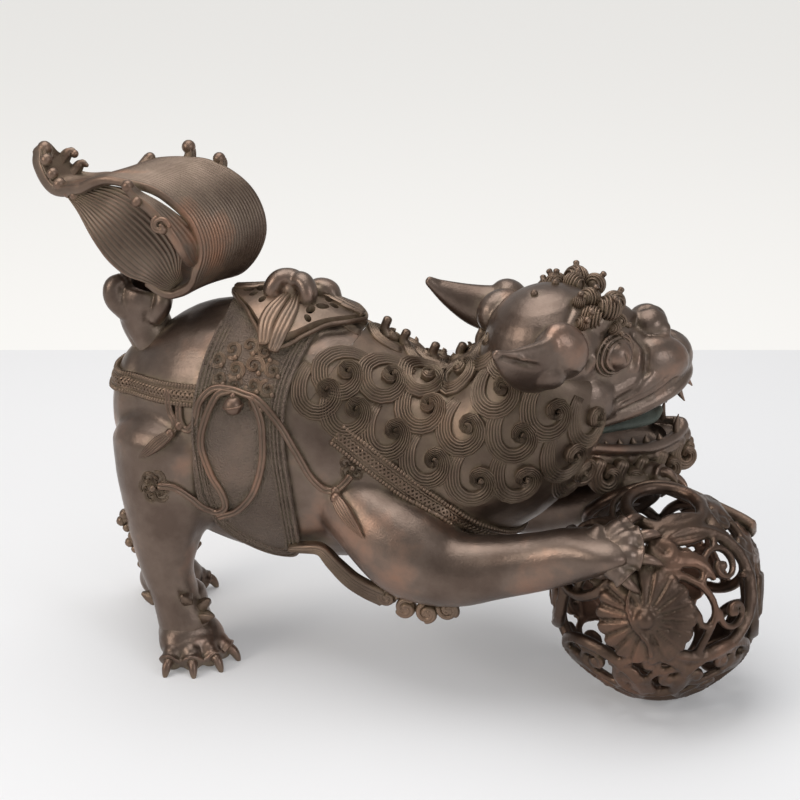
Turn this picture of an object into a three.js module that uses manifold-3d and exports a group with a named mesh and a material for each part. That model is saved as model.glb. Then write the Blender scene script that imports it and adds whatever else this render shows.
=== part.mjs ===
// Bronze incense burner in the shape of a lion-dog (shishi) with one forepaw on an openwork ball.
// Millimetres, +Z up, +X towards the lion's head, +Y to the lion's left.
// The origin is on the surface the object stands on, under the middle of its bounding box.

import * as THREE from 'three';
import { LoftGeometry } from 'three/addons/geometries/LoftGeometry.js';
import { mergeVertices } from 'three/addons/utils/BufferGeometryUtils.js';
import Module from 'manifold-3d';

const wasm = await Module();
wasm.setup();

// ---------------------------------------------------------------- driving dimensions

const GAP = 0.35;            // air between two pieces that touch
const WALL = 3.4;            // thickness of the cast body
const FAR = 600;             // larger than the object, for cutting blocks

const BALL_CENTRE = [138, -17, 54.6];
const BALL_RADIUS = 55;
const BALL_WALL = 4.5;

const HEAD_PLACE = [79, 2, 175];
const HEAD_YAW = 30;         // the head looks to the lion's left
const HEAD_PITCH = 13;       // and a little upwards
const HEAD_ROLL = 7;

const BACK_OPENING = { x: -55, halfLength: 27, halfWidth: 24 };
const CLOTH_THICK = 2.4;
const LID_THICK = 3.2;
const LID_LIFT_CLEARANCE = 3.4;
const RIVET_RADIUS = 3;
const LIP_WALL = 2;
const LID_REACH = 33;        // half length of the lid, to its drawn-out ends
const LID_SPREAD = 34;       // half width of the lid, to the corners over the flanks
const LID_BULGE = 0.16;      // how far the lid's edges swell between the corners
const SMOKE_HOLES = [[-17, 8, 3], [-9, 20, 2.6], [17, 8, 3], [9, 20, 2.6]];

const CLOTH_SPLIT = 16;      // the cloth stops short of the belly's middle
const STRAP_THICK = 2;
const STRAP_WIDTH = 12;
const CORD_RADIUS = 1.5;
const MANE_RISE = 3;         // how far the mane stands above the trunk
const HIND_STRIDE = 34;      // the left hind paw stands this much further back
const TRUNK_MIDDLE = 125;    // a height inside the hollow body

// The breast strap lies in a slanting plane, and so does the joint of mane and bowl above it
const STRAP_NORMAL = [0.587, 0, 0.81];
const STRAP_LOW = 88;
const STRAP_HIGH = STRAP_LOW + STRAP_WIDTH;
const WITHERS_NORMAL = [0.814, 0, -0.581];
const WITHERS = -119.7;
// The crupper strap runs round the rump in a nearly level plane
const CRUPPER_NORMAL = [0.25, 0, 0.968];
const CRUPPER_LOW = 104;

// Stations of the trunk: position along the spine, half width and half height
const TRUNK = [
  { at: [-139, 0, 135], wide: 27, tall: 33 },
  { at: [-111, 0, 132], wide: 43, tall: 58 },
  { at: [-82, 0, 126], wide: 49, tall: 68 },
  { at: [-49, 0, 121], wide: 51, tall: 69 },
  { at: [-16, 0, 115], wide: 48, tall: 61 },
  { at: [16, 0, 113], wide: 45, tall: 52 },
  { at: [46, 0, 121], wide: 43, tall: 46 },
  { at: [66, 1, 142], wide: 41, tall: 42 },
  { at: [77, 2, 165], wide: 34, tall: 34 },
];

// ---------------------------------------------------------------- solids

// A closed three.js geometry as a manifold solid
function solidOf(geometry) {
  const bare = new THREE.BufferGeometry();
  bare.setAttribute('position', geometry.getAttribute('position').clone());
  if (geometry.index) bare.setIndex(geometry.index.clone());
  const merged = mergeVertices(bare, 1e-4);
  const index = Array.from(merged.index.array);
  const kept = [];
  for (let i = 0; i < index.length; i += 3) {
    const [a, b, c] = index.slice(i, i + 3);
    if (a !== b && b !== c && c !== a) kept.push(a, b, c);
  }
  return new wasm.Manifold(new wasm.Mesh({
    numProp: 3,
    vertProperties: new Float32Array(merged.getAttribute('position').array),
    triVerts: new Uint32Array(kept),
  }));
}

// A manifold solid as a three.js geometry
function geometryOf(solid) {
  const mesh = solid.getMesh();
  const geometry = new THREE.BufferGeometry();
  geometry.setAttribute('position', new THREE.BufferAttribute(new Float32Array(mesh.vertProperties), 3));
  geometry.setIndex(Array.from(mesh.triVerts));
  return geometry;
}

function join(...solids) {
  return solids.reduce((all, one) => all.add(one));
}

// Only the largest closed body of a solid, so that no loose sliver stays
function largest(solid) {
  const bodies = solid.decompose();
  return bodies.reduce((best, one) => (one.volume() > best.volume() ? one : best));
}

function vector(list) {
  return new THREE.Vector3(...list);
}

// A limb swept through oval stations, with round ends
function limb(stations, { sides = 10, grow = 0, across = [0, 1, 0], startDome = 0.7, endDome = 0.7 } = {}) {
  const centres = stations.map((station) => vector(station.at));
  const rings = [];
  const ring = (centre, tangent, wide, tall) => {
    const u = vector(across).addScaledVector(tangent, -tangent.dot(vector(across))).normalize();
    const v = new THREE.Vector3().crossVectors(tangent, u);
    const points = [];
    for (let k = 0; k < sides; k++) {
      const angle = (2 * Math.PI * k) / sides;
      const point = centre.clone().addScaledVector(u, wide * Math.cos(angle));
      points.push(point.addScaledVector(v, tall * Math.sin(angle)));
    }
    return points;
  };
  const last = stations.length - 1;
  stations.forEach((station, i) => {
    const tangent = centres[Math.min(i + 1, last)].clone().sub(centres[Math.max(i - 1, 0)]).normalize();
    const wide = station.wide + grow;
    const tall = (station.tall ?? station.wide) + grow;
    const dome = (factor, sign, steps) => {
      for (const degrees of steps) {
        const angle = THREE.MathUtils.degToRad(degrees);
        const out = Math.min(wide, tall) * factor * Math.sin(angle) * sign;
        const centre = centres[i].clone().addScaledVector(tangent, out);
        rings.push(ring(centre, tangent, wide * Math.cos(angle), tall * Math.cos(angle)));
      }
    };
    if (i === 0 && startDome) dome(startDome, -1, [78, 42]);
    rings.push(ring(centres[i], tangent, wide, tall));
    if (i === last && endDome) dome(endDome, 1, [42, 78]);
  });
  return solidOf(new LoftGeometry(rings, { closed: true, capStart: true, capEnd: true }));
}

function ellipsoid(at, half, turn = [0, 0, 0], detail = 9) {
  const geometry = new THREE.SphereGeometry(1, detail, Math.round(detail * 0.6));
  const place = new THREE.Object3D();
  place.position.set(...at);
  place.scale.set(...half);
  place.rotation.set(...turn.map(THREE.MathUtils.degToRad));
  place.updateMatrix();
  return solidOf(geometry.applyMatrix4(place.matrix));
}

function rod(from, to, radius, sides = 8, endRadius = radius) {
  const start = vector(from);
  const run = vector(to).sub(start);
  const geometry = new THREE.CylinderGeometry(endRadius, radius, run.length(), sides);
  const along = run.clone().normalize();
  const turn = new THREE.Quaternion().setFromUnitVectors(new THREE.Vector3(0, 1, 0), along);
  geometry.applyQuaternion(turn);
  geometry.translate(...start.addScaledVector(run, 0.5).toArray());
  return solidOf(geometry);
}

// Everything on the side of a plane that its normal points to
function beyond(normal, distance) {
  const geometry = new THREE.BoxGeometry(2 * FAR, 2 * FAR, 2 * FAR);
  geometry.translate(0, 0, FAR);
  const up = new THREE.Vector3(0, 0, 1);
  const out = vector(normal).normalize();
  geometry.applyQuaternion(new THREE.Quaternion().setFromUnitVectors(up, out));
  geometry.translate(...out.multiplyScalar(distance).toArray());
  return solidOf(geometry);
}

function block(low, high) {
  const size = high.map((value, i) => value - low[i]);
  const geometry = new THREE.BoxGeometry(...size);
  geometry.translate(...low.map((value, i) => value + size[i] / 2));
  return solidOf(geometry);
}

// An outline of [x, y] points, extruded upwards between two heights
function prism(outline, low, high) {
  const shape = new THREE.Shape(outline.map(([x, y]) => new THREE.Vector2(x, y)));
  const geometry = new THREE.ExtrudeGeometry(shape, { depth: high - low, bevelEnabled: false });
  geometry.translate(0, 0, low);
  return solidOf(geometry);
}

// An outline of [x, z] points, extruded sideways between two values of y
function sidePrism(outline, low, high) {
  const flipped = outline.map(([x, z]) => [x, -z]);
  const shape = new THREE.Shape(flipped.map(([x, y]) => new THREE.Vector2(x, y)));
  const geometry = new THREE.ExtrudeGeometry(shape, { depth: high - low, bevelEnabled: false });
  geometry.translate(0, 0, low);
  geometry.applyMatrix4(new THREE.Matrix4().makeRotationX(-Math.PI / 2));
  return solidOf(geometry);
}

// A round cord along a smooth curve through hand-placed points
function cord(points, radius, sides = 8, steps = 20) {
  const path = new THREE.CatmullRomCurve3(points.map(vector));
  const shape = new THREE.Shape();
  for (let k = 0; k < sides; k++) {
    const angle = (2 * Math.PI * k) / sides;
    const point = [radius * Math.cos(angle), radius * Math.sin(angle)];
    if (k === 0) shape.moveTo(...point);
    else shape.lineTo(...point);
  }
  return solidOf(new THREE.ExtrudeGeometry(shape, { steps, extrudePath: path, bevelEnabled: false }));
}

const FLOOR = beyond([0, 0, 1], 0);

// ---------------------------------------------------------------- trunk

function trunk(grow) {
  return limb(TRUNK, { sides: 16, grow, startDome: 0.6, endDome: 0.5 });
}

// The part of the trunk that the mane covers: in front of the saddle and above the breast strap
function maneRegion(shift) {
  return beyond(WITHERS_NORMAL, WITHERS + shift).intersect(beyond(STRAP_NORMAL, STRAP_HIGH + 0.5 + shift));
}

// The bowl: hollow, open at the back under the lid and at the joint with the mane
function torsoShell() {
  const { x, halfLength, halfWidth } = BACK_OPENING;
  const opening = prism(oval(x, halfLength, halfWidth), TRUNK_MIDDLE, FAR);
  let shell = trunk(0).subtract(trunk(-WALL)).subtract(maneRegion(-GAP / 2)).subtract(opening);
  for (const rivet of LEG_RIVETS) shell = shell.subtract(rivetStem(rivet, GAP));
  return largest(shell.subtract(tailPin(GAP)));
}

// The shell of the shoulders and neck, under the curls of the mane
function maneShell() {
  const shell = trunk(MANE_RISE).subtract(trunk(-WALL)).intersect(maneRegion(GAP / 2));
  return largest(shell.subtract(headClearance()).subtract(lidOutline(LID_THICK + 2)));
}

function oval(x, halfLength, halfWidth, sides = 24) {
  return Array.from({ length: sides }, (_, k) => {
    const angle = (2 * Math.PI * k) / sides;
    return [x + halfLength * Math.cos(angle), halfWidth * Math.sin(angle)];
  });
}

// ---------------------------------------------------------------- saddle, lid and harness

// A layer that lies on the trunk, from a height above it to a greater height
function layer(low, high) {
  return trunk(high).subtract(trunk(low));
}

// The saddle cloth hangs down both flanks from the rim of the lid
function saddleCloth() {
  const outline = [[-93, 215], [-96, 150], [-91, 100], [-79, 74], [-62, 62], [-50, 60],
    [-44, 74], [-44, 120], [-42, 160], [-34, 215]];
  const { x, halfLength, halfWidth } = BACK_OPENING;
  const hole = prism(oval(x, halfLength, halfWidth), TRUNK_MIDDLE, FAR);
  const belly = block([-120, -CLOTH_SPLIT, 0], [0, CLOTH_SPLIT, TRUNK_MIDDLE]);
  const cloth = layer(GAP, GAP + CLOTH_THICK).intersect(sidePrism(outline, -FAR, FAR));
  return cloth.subtract(hole).subtract(belly);
}

// The cloth-shaped outline of the lid in plan, drawn in between its four corners
function lidOutline(height) {
  const { x } = BACK_OPENING;
  const corner = [[x - LID_REACH, 0], [x, -LID_SPREAD], [x + LID_REACH + 3, 0], [x, LID_SPREAD]];
  const outline = [];
  corner.forEach((from, i) => {
    const to = corner[(i + 1) % corner.length];
    for (const share of [0, 0.12, 0.3, 0.5, 0.7, 0.88]) {
      const bulge = 1 + LID_BULGE * Math.sin(Math.PI * share);
      const along = [0, 1].map((k) => from[k] + share * (to[k] - from[k]));
      outline.push([x + (along[0] - x) * bulge, along[1] * bulge]);
    }
  });
  return trunk(CLOTH_THICK + 2 * GAP + height).intersect(prism(outline, TRUNK_MIDDLE, FAR));
}

// The pierced lid, saddle-shaped to the back, with a lip that drops into the opening
function saddleLid() {
  const { x, halfLength, halfWidth } = BACK_OPENING;
  const plate = lidOutline(LID_THICK).subtract(trunk(CLOTH_THICK + 2 * GAP));
  const outside = prism(oval(x, halfLength - LID_LIFT_CLEARANCE, halfWidth - LID_LIFT_CLEARANCE), 150, FAR);
  const inner = LID_LIFT_CLEARANCE + LIP_WALL;
  const inside = prism(oval(x, halfLength - inner, halfWidth - inner), 150, FAR);
  const reach = trunk(CLOTH_THICK + 2 * GAP + 0.6).subtract(trunk(-WALL - 2));
  const lip = outside.subtract(inside).intersect(reach);
  let lid = plate.add(lip);
  for (const side of [-1, 1]) {
    for (const [along, out, radius] of SMOKE_HOLES) {
      lid = lid.subtract(rod([x + along, side * out, 150], [x + along, side * out, 230], radius, 8));
    }
  }
  const stem = rod([x, 0, 150], [x, 0, 230], RIVET_RADIUS + GAP, 12);
  return largest(lid.subtract(stem));
}

// The knotted bow that the lid is lifted by, with its stem through the lid
function lidKnot() {
  const { x } = BACK_OPENING;
  const top = 199;
  const lobes = [
    ellipsoid([x - 6, -5, top + 1], [8, 5, 7], [0, 25, 20]),
    ellipsoid([x + 5, -7, top - 1], [6, 6, 7], [0, -20, 0]),
    ellipsoid([x + 12, 4, top - 1], [9, 5, 5], [0, 15, 10]),
    ellipsoid([x - 1, 4, top + 1], [8, 6, 7]),
  ];
  const seat = trunk(CLOTH_THICK + LID_THICK + 3 * GAP);
  const stem = rod([x, 0, 186], [x, 0, top], RIVET_RADIUS, 10);
  return largest(join(...lobes, ellipsoid([x + 1, -1, top - 4], [13, 9, 5])).subtract(seat).add(stem));
}

// The breast strap: a flat band round the chest below the mane, from one saddle flap to the other
function breastStrap() {
  const band = beyond(STRAP_NORMAL, STRAP_LOW).subtract(beyond(STRAP_NORMAL, STRAP_HIGH));
  const front = beyond([1, 0, 0], -41);
  const low = beyond([0, 0, -1], -150);
  const strap = layer(GAP, GAP + STRAP_THICK).intersect(band).intersect(front).intersect(low);
  return largest(strap.subtract(leftForeLegBody(GAP)));
}

// The crupper strap: from one saddle flap round the rump under the tail
function crupperStrap() {
  const top = beyond(CRUPPER_NORMAL, CRUPPER_LOW + STRAP_WIDTH);
  const band = beyond(CRUPPER_NORMAL, CRUPPER_LOW).subtract(top);
  const behind = beyond([-1, 0, 0], 97);
  return largest(layer(GAP, GAP + STRAP_THICK).intersect(band).intersect(behind));
}

// ---------------------------------------------------------------- legs

const RIGHT = -1;
const LEFT = 1;

// Stations of a hind leg; the left one is stretched back by a growing share of its stride
function hindLegStations(side) {
  const back = (share) => (side === LEFT ? -share * HIND_STRIDE : 0);
  return [
    { at: [-114 + back(0.25), side * 25, 118], wide: 27, tall: 35 },
    { at: [-116 + back(0.4), side * 31, 94], wide: 22, tall: 29 },
    { at: [-119 + back(0.6), side * 34, 72], wide: 17, tall: 20.5 },
    { at: [-119 + back(0.8), side * 35, 52], wide: 13.5, tall: 14.5 },
    { at: [-115 + back(0.92), side * 35, 36], wide: 12.5, tall: 13 },
    { at: [-110 + back(1), side * 35, 20], wide: 14, tall: 15 },
  ];
}

// A hind leg: thigh, hock and the broad paw turned outwards, flat on the ground
function hindLeg(side) {
  const shift = side === LEFT ? -HIND_STRIDE : 0;
  const turn = side === LEFT ? 1.4 : 0.9;
  const toe = [Math.cos(turn), side * Math.sin(turn)];
  const heel = [-109 + shift - 5 * toe[0], side * 34 - 5 * toe[1]];
  const paw = limb([
    { at: [heel[0], heel[1], 12], wide: 17, tall: 13 },
    { at: [heel[0] + 9 * toe[0], heel[1] + 9 * toe[1], 10.5], wide: 19, tall: 12 },
    { at: [heel[0] + 17 * toe[0], heel[1] + 17 * toe[1], 8], wide: 19, tall: 10 },
  ], { across: [-toe[1], toe[0], 0], sides: 10 });
  let leg = limb(hindLegStations(side), { sides: 10 }).add(paw);
  for (const spread of [-0.95, -0.32, 0.32, 0.95]) {
    const angle = Math.atan2(toe[1], toe[0]) + spread * 0.85;
    const ahead = [Math.cos(angle), Math.sin(angle)];
    const root = [0, 1].map((i) => heel[i] + 14 * ahead[i] + 4 * toe[i]);
    const reach = (far) => [root[0] + far * ahead[0], root[1] + far * ahead[1]];
    leg = leg.add(limb([
      { at: [...reach(0), 7], wide: 6, tall: 6 },
      { at: [...reach(7), 6], wide: 5.5, tall: 5.5 },
      { at: [...reach(11), 3.5], wide: 1.8, tall: 2.4 },
    ], { sides: 6, across: [-Math.sin(angle), Math.cos(angle), 0], startDome: 0 }));
  }
  const bore = rivetStem(LEG_RIVETS[side === LEFT ? 1 : 0], GAP);
  const above = beyond(CRUPPER_NORMAL, CRUPPER_LOW - GAP);
  return largest(leg.subtract(trunk(GAP)).subtract(above).subtract(bore).intersect(FLOOR));
}

// Stations of the right foreleg, which reaches the side of the ball
const RIGHT_FORE = [
  { at: [-20, -32, 100], wide: 20, tall: 20 },
  { at: [0, -40, 87], wide: 24, tall: 24 },
  { at: [18, -46, 77], wide: 24, tall: 25 },
  { at: [38, -50, 72], wide: 19, tall: 20 },
  { at: [60, -52, 76], wide: 16, tall: 16.5 },
  { at: [82, -54, 82], wide: 14.5, tall: 15 },
  { at: [94, -55, 86], wide: 14, tall: 14 },
];

// Stations of the left foreleg, which reaches over the far side of the ball
const LEFT_FORE = [
  { at: [8, 36, 100], wide: 24, tall: 28 },
  { at: [32, 49, 82], wide: 24, tall: 24 },
  { at: [55, 44, 72], wide: 19, tall: 18 },
  { at: [76, 34, 75], wide: 14, tall: 14.5 },
  { at: [96, 23, 86], wide: 13, tall: 13 },
];

function foreLeg(stations, wrist, paw, toes, across, grow = 0) {
  let leg = limb(stations, { sides: 10, grow });
  leg = leg.add(limb([
    { at: wrist, wide: 15, tall: 12 },
    { at: paw, wide: 18, tall: 10 },
  ], { sides: 10, grow, across }));
  for (const toe of toes) {
    leg = leg.add(limb([
      { at: paw, wide: 7, tall: 7 },
      { at: toe.map((value, i) => paw[i] + 0.75 * (value - paw[i])), wide: 6, tall: 6 },
      { at: toe, wide: 2, tall: 2 },
    ], { sides: 6, grow, across, startDome: 0 }));
  }
  return leg;
}

function rightForeLegBody(grow = 0) {
  const toes = [[129, -52, 107], [136, -60, 100], [137, -68, 90], [125, -71, 80]];
  return foreLeg(RIGHT_FORE, [98, -56, 88], [112, -60, 92], toes, [0.5, -0.45, -0.74], grow);
}

function leftForeLegBody(grow = 0) {
  const toes = [[140, 14, 107], [144, 24, 100], [141, 33, 91], [127, 36, 86]];
  return foreLeg(LEFT_FORE, [104, 20, 92], [120, 19, 100], toes, [0.3, 0.75, -0.58], grow);
}

function foreLegs(grow) {
  return rightForeLegBody(grow).add(leftForeLegBody(grow));
}

function rightForeLeg() {
  const body = rightForeLegBody().subtract(shoulderSeat()).subtract(ballBody(GAP));
  const above = beyond(STRAP_NORMAL, STRAP_LOW - GAP).subtract(beyond([1, 0, 0], 45));
  const bores = rivetStem(LEG_RIVETS[2], GAP).add(pawRivet(RIGHT, GAP));
  return largest(body.subtract(above).subtract(bores));
}

function leftForeLeg() {
  const body = leftForeLegBody().subtract(shoulderSeat()).subtract(ballBody(GAP));
  const bores = rivetStem(LEG_RIVETS[3], GAP).add(pawRivet(LEFT, GAP));
  return largest(body.subtract(headClearance()).subtract(bores));
}

// What the forelegs are fitted against: the bowl, and the thicker shell of the mane
function shoulderSeat() {
  return trunk(GAP).add(trunk(MANE_RISE + GAP).intersect(maneRegion(-GAP)));
}

// ---------------------------------------------------------------- rivets

// The rivets that hold the legs: through the wall of the bowl, peened over on the inside
const LEG_RIVETS = [
  { name: 'right_hind_leg_rivet', x: -112, z: 110, side: RIGHT, inner: 29, head: 32, outer: 45 },
  { name: 'left_hind_leg_rivet', x: -118, z: 112, side: LEFT, inner: 26, head: 29, outer: 44 },
  { name: 'right_fore_leg_rivet', x: 2, z: 92, side: RIGHT, inner: 32, head: 35, outer: 50 },
  { name: 'left_fore_leg_rivet', x: 14, z: 92, side: LEFT, inner: 30, head: 33, outer: 50 },
];

function rivetStem({ x, z, side, inner, outer }, grow) {
  return rod([x, side * (inner + 1), z], [x, side * (outer + (grow ? 1 : 0)), z], RIVET_RADIUS + grow, 10);
}

function legRivet(rivet) {
  const { x, z, side, inner, head } = rivet;
  return rivetStem(rivet, 0).add(rod([x, side * inner, z], [x, side * head, z], 2 * RIVET_RADIUS - 1, 10));
}

// A rivet through a forepaw into the wall of the ball
function pawRivet(side, grow) {
  const [x, y, z] = side === RIGHT ? [-0.45, -0.66, 0.6] : [-0.3, 0.62, 0.72];
  const reach = (far) => [x, y, z].map((value, i) => BALL_CENTRE[i] + far * value);
  const inner = BALL_RADIUS - BALL_WALL - 3;
  return rod(reach(inner), reach(BALL_RADIUS + 7 + (grow ? 1 : 0)), 2.2 + grow, 10);
}

// ---------------------------------------------------------------- ball

function ballBody(grow, detail = 18) {
  const geometry = new THREE.SphereGeometry(BALL_RADIUS + grow, detail, Math.round(detail * 0.6));
  geometry.rotateX(Math.PI / 2);
  geometry.translate(...BALL_CENTRE);
  return solidOf(geometry);
}

// The openwork: round windows between the scrolls, spread evenly over the ball
function ballWindows() {
  const windows = [];
  const rows = [[50, 4, 0.2, 12], [12, 6, 0.25, 13], [-30, 6, 0.7, 12]];
  for (const [height, count, phase, radius] of rows) {
    for (let k = 0; k < count; k++) {
      const turn = (2 * Math.PI * (k + phase)) / count;
      const level = THREE.MathUtils.degToRad(height);
      const out = [Math.cos(level) * Math.cos(turn), Math.cos(level) * Math.sin(turn), Math.sin(level)];
      const reach = (far) => out.map((value, i) => BALL_CENTRE[i] + far * value);
      windows.push(rod(reach(20), reach(BALL_RADIUS + 5), radius, 7));
    }
  }
  return windows;
}

function ballShell() {
  let ball = ballBody(0).subtract(ballBody(-BALL_WALL, 14));
  for (const window of ballWindows()) ball = ball.subtract(window);
  ball = ball.subtract(pawRivet(RIGHT, GAP)).subtract(pawRivet(LEFT, GAP));
  return largest(ball.intersect(FLOOR));
}

// A pleated sash laid over the ball, its cut end standing off behind
function ballSash() {
  const [x, y, z] = BALL_CENTRE;
  const width = 11;
  const stations = [];
  for (const degrees of [104, 88, 72, 56, 40]) {
    const angle = THREE.MathUtils.degToRad(degrees);
    const far = BALL_RADIUS + 2.6;
    const at = [x + far * Math.cos(angle), y + 22, z + 0.93 * far * Math.sin(angle)];
    stations.push({ at, wide: width, tall: 1.8 });
  }
  stations.push({ at: [x + 54, y + 24, z + 30], wide: width - 1, tall: 2.6 });
  const sash = limb(stations, { sides: 10, startDome: 0, endDome: 0 });
  return largest(sash.subtract(ballBody(GAP)).subtract(leftForeLegBody(GAP)));
}

// ---------------------------------------------------------------- head

// The head is drawn in its own frame: +X out of the face, +Y to its left, +Z to its crown

const HEAD = new THREE.Object3D();
HEAD.position.set(...HEAD_PLACE);
HEAD.rotation.set(...[HEAD_ROLL, -HEAD_PITCH, HEAD_YAW].map(THREE.MathUtils.degToRad), 'ZYX');
HEAD.updateMatrix();

function inTheRowFrame(solid) {
  return solidOf(geometryOf(solid).applyMatrix4(HEAD.matrix));
}

function inTheHeadFrame(solid) {
  return solidOf(geometryOf(solid).applyMatrix4(HEAD.matrix.clone().invert()));
}

// Skull, muzzle, nose, brows and cheeks
function skull(grow) {
  const muzzle = limb([
    { at: [16, 0, -14], wide: 27, tall: 24 },
    { at: [40, 0, -17], wide: 24, tall: 18 },
    { at: [58, 0, -24], wide: 20, tall: 12 },
  ], { sides: 14, grow });
  const parts = [
    ellipsoid([-2, 0, 4], [33, 31, 31].map((half) => half + grow), [0, 0, 0], 14),
    ellipsoid([53, 0, -3], [10, 11, 9].map((half) => half + grow)),
  ];
  for (const side of [-1, 1]) {
    parts.push(ellipsoid([22, side * 15, 17], [11, 9, 8].map((half) => half + grow)));
    parts.push(ellipsoid([8, side * 21, -24], [15, 11, 16].map((half) => half + grow)));
  }
  return join(muzzle, ...parts);
}

// Jaw and beard, seen as one block by the neighbours
function jawBody(grow) {
  return limb([
    { at: [-4, 0, -54], wide: 22, tall: 13 },
    { at: [26, 0, -63], wide: 20, tall: 10 },
    { at: [58, 0, -70], wide: 14, tall: 7 },
  ], { sides: 14, grow });
}

// The way from the neck to the open mouth
function throat() {
  return limb([
    { at: [-30, 0, -14], wide: 20, tall: 20 },
    { at: [6, 0, -24], wide: 17, tall: 17 },
    { at: [30, 0, -42], wide: 15, tall: 12 },
    { at: [56, 0, -46], wide: 14, tall: 12 },
  ]);
}

function headClearance() {
  return inTheRowFrame(join(skull(GAP), jawBody(GAP), beardBody(GAP), throat(), tongue(GAP)));
}

function headShell() {
  const palate = beyond([0, 0, -1], 40).intersect(beyond([1, 0, 0], -6));
  const hollow = ellipsoid([-6, 0, 2], [29, 26, 26]);
  return largest(skull(0).subtract(palate).subtract(hollow).subtract(throat()).subtract(nape()));
}

// The neck's hollow, which opens the back of the head into the body
function nape() {
  return inTheHeadFrame(trunk(-WALL - 3));
}

function lowerJaw() {
  const bowl = limb([
    { at: [2, 0, -44], wide: 16, tall: 14 },
    { at: [28, 0, -56], wide: 15, tall: 8 },
    { at: [52, 0, -64], wide: 9.5, tall: 5 },
  ], { sides: 12 });
  const behind = beyond([-1, 0, 0], 16);
  return largest(jawBody(0).subtract(bowl).subtract(skull(GAP)).subtract(behind).subtract(lowerTeeth(GAP)));
}

function beardBody(grow) {
  return limb([
    { at: [0, 0, -66], wide: 17, tall: 8 },
    { at: [22, 0, -75], wide: 15, tall: 8 },
    { at: [44, 0, -80], wide: 10, tall: 6 },
  ], { sides: 12, grow });
}

function beard() {
  return largest(beardBody(0).subtract(jawBody(GAP)));
}

function tongue(grow = 0) {
  return limb([
    { at: [18, 0, -50.5], wide: 8, tall: 3 },
    { at: [30, 0, -51.5], wide: 9, tall: 3 },
    { at: [46, 0, -55], wide: 6, tall: 2.4 },
  ], { sides: 8, grow });
}

function fang(at, height, radius = 2.2) {
  const tip = [at[0] + 1.5, at[1] * 1.04, at[2] + height];
  return rod(at, tip, radius, 8, 0.5);
}

// An arch of teeth: a low ridge with a fang on each side
function upperTeeth() {
  const arch = limb([
    { at: [30, -16, -40.5], wide: 2, tall: 2 },
    { at: [52, -13, -40.5], wide: 2, tall: 2 },
    { at: [60, 0, -40.5], wide: 2, tall: 2 },
    { at: [52, 13, -40.5], wide: 2, tall: 2 },
    { at: [30, 16, -40.5], wide: 2, tall: 2 },
  ], { sides: 8, across: [0, 0, 1] });
  const fangs = [-1, 1].map((side) => fang([56, side * 9, -41], -9));
  return largest(join(arch, ...fangs).subtract(skull(GAP).subtract(beyond([0, 0, -1], 40 - GAP))));
}

function lowerTeeth(grow = 0) {
  const fangs = [-1, 1].map((side) => fang([56, side * 7.5, -66], 10, 2.2 + grow));
  const arch = limb([
    { at: [53, -8.5, -65.5], wide: 2 + grow, tall: 2 + grow },
    { at: [59, 0, -66.5], wide: 2 + grow, tall: 2 + grow },
    { at: [53, 8.5, -65.5], wide: 2 + grow, tall: 2 + grow },
  ], { sides: 8, across: [0, 0, 1] });
  return join(arch, ...fangs);
}

// A leaf-shaped ear, swept back
function ear(side) {
  return limb([
    { at: [-6, side * 27, 12], wide: 19, tall: 5.5 },
    { at: [-20, side * 37, 15], wide: 18, tall: 5 },
    { at: [-34, side * 43, 24], wide: 10, tall: 4 },
    { at: [-44, side * 46, 33], wide: 2.5, tall: 2 },
  ], { sides: 8, across: [0.08, side * 0.25, 0.96], startDome: 0.3 });
}

function earPiece(side) {
  return largest(ear(side).subtract(skull(GAP)).subtract(inTheHeadFrame(trunk(MANE_RISE + GAP))));
}

// ---------------------------------------------------------------- tail

const TAIL_ACROSS = [0.37, 0.93, 0];

// The stump of the tail: it rises from the rump and opens into a cup of two lobes
function tailBase(grow = 0) {
  return join(
    limb([
      { at: [-130, 0, 158], wide: 16, tall: 14 },
      { at: [-139, 0, 176], wide: 15, tall: 14 },
      { at: [-141, 0, 190], wide: 17, tall: 13 },
    ], { sides: 14, grow }),
    ellipsoid([-148, -6, 198], [8, 9, 10].map((half) => half + grow)),
    ellipsoid([-143, 8, 202], [8, 9, 11].map((half) => half + grow)),
  );
}

// The long leaf of the plume rolls forward, up and back to the tip
function tailRoll(grow = 0) {
  return limb([
    { at: [-129, 0, 205], wide: 20, tall: 3 },
    { at: [-112, 0, 199], wide: 24, tall: 3 },
    { at: [-97, 0, 205], wide: 27, tall: 3 },
    { at: [-88, 0, 223], wide: 28, tall: 3 },
    { at: [-95, 0, 241], wide: 29, tall: 3 },
    { at: [-114, 0, 252], wide: 29, tall: 3 },
    { at: [-140, 0, 253], wide: 27, tall: 3 },
    { at: [-163, 0, 247], wide: 20, tall: 3.5 },
    { at: [-178, 0, 250], wide: 14, tall: 4.5 },
    { at: [-187, 0, 260], wide: 10, tall: 4.5 },
    { at: [-189, 0, 268], wide: 5, tall: 4 },
  ], { sides: 12, grow, across: TAIL_ACROSS });
}

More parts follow.
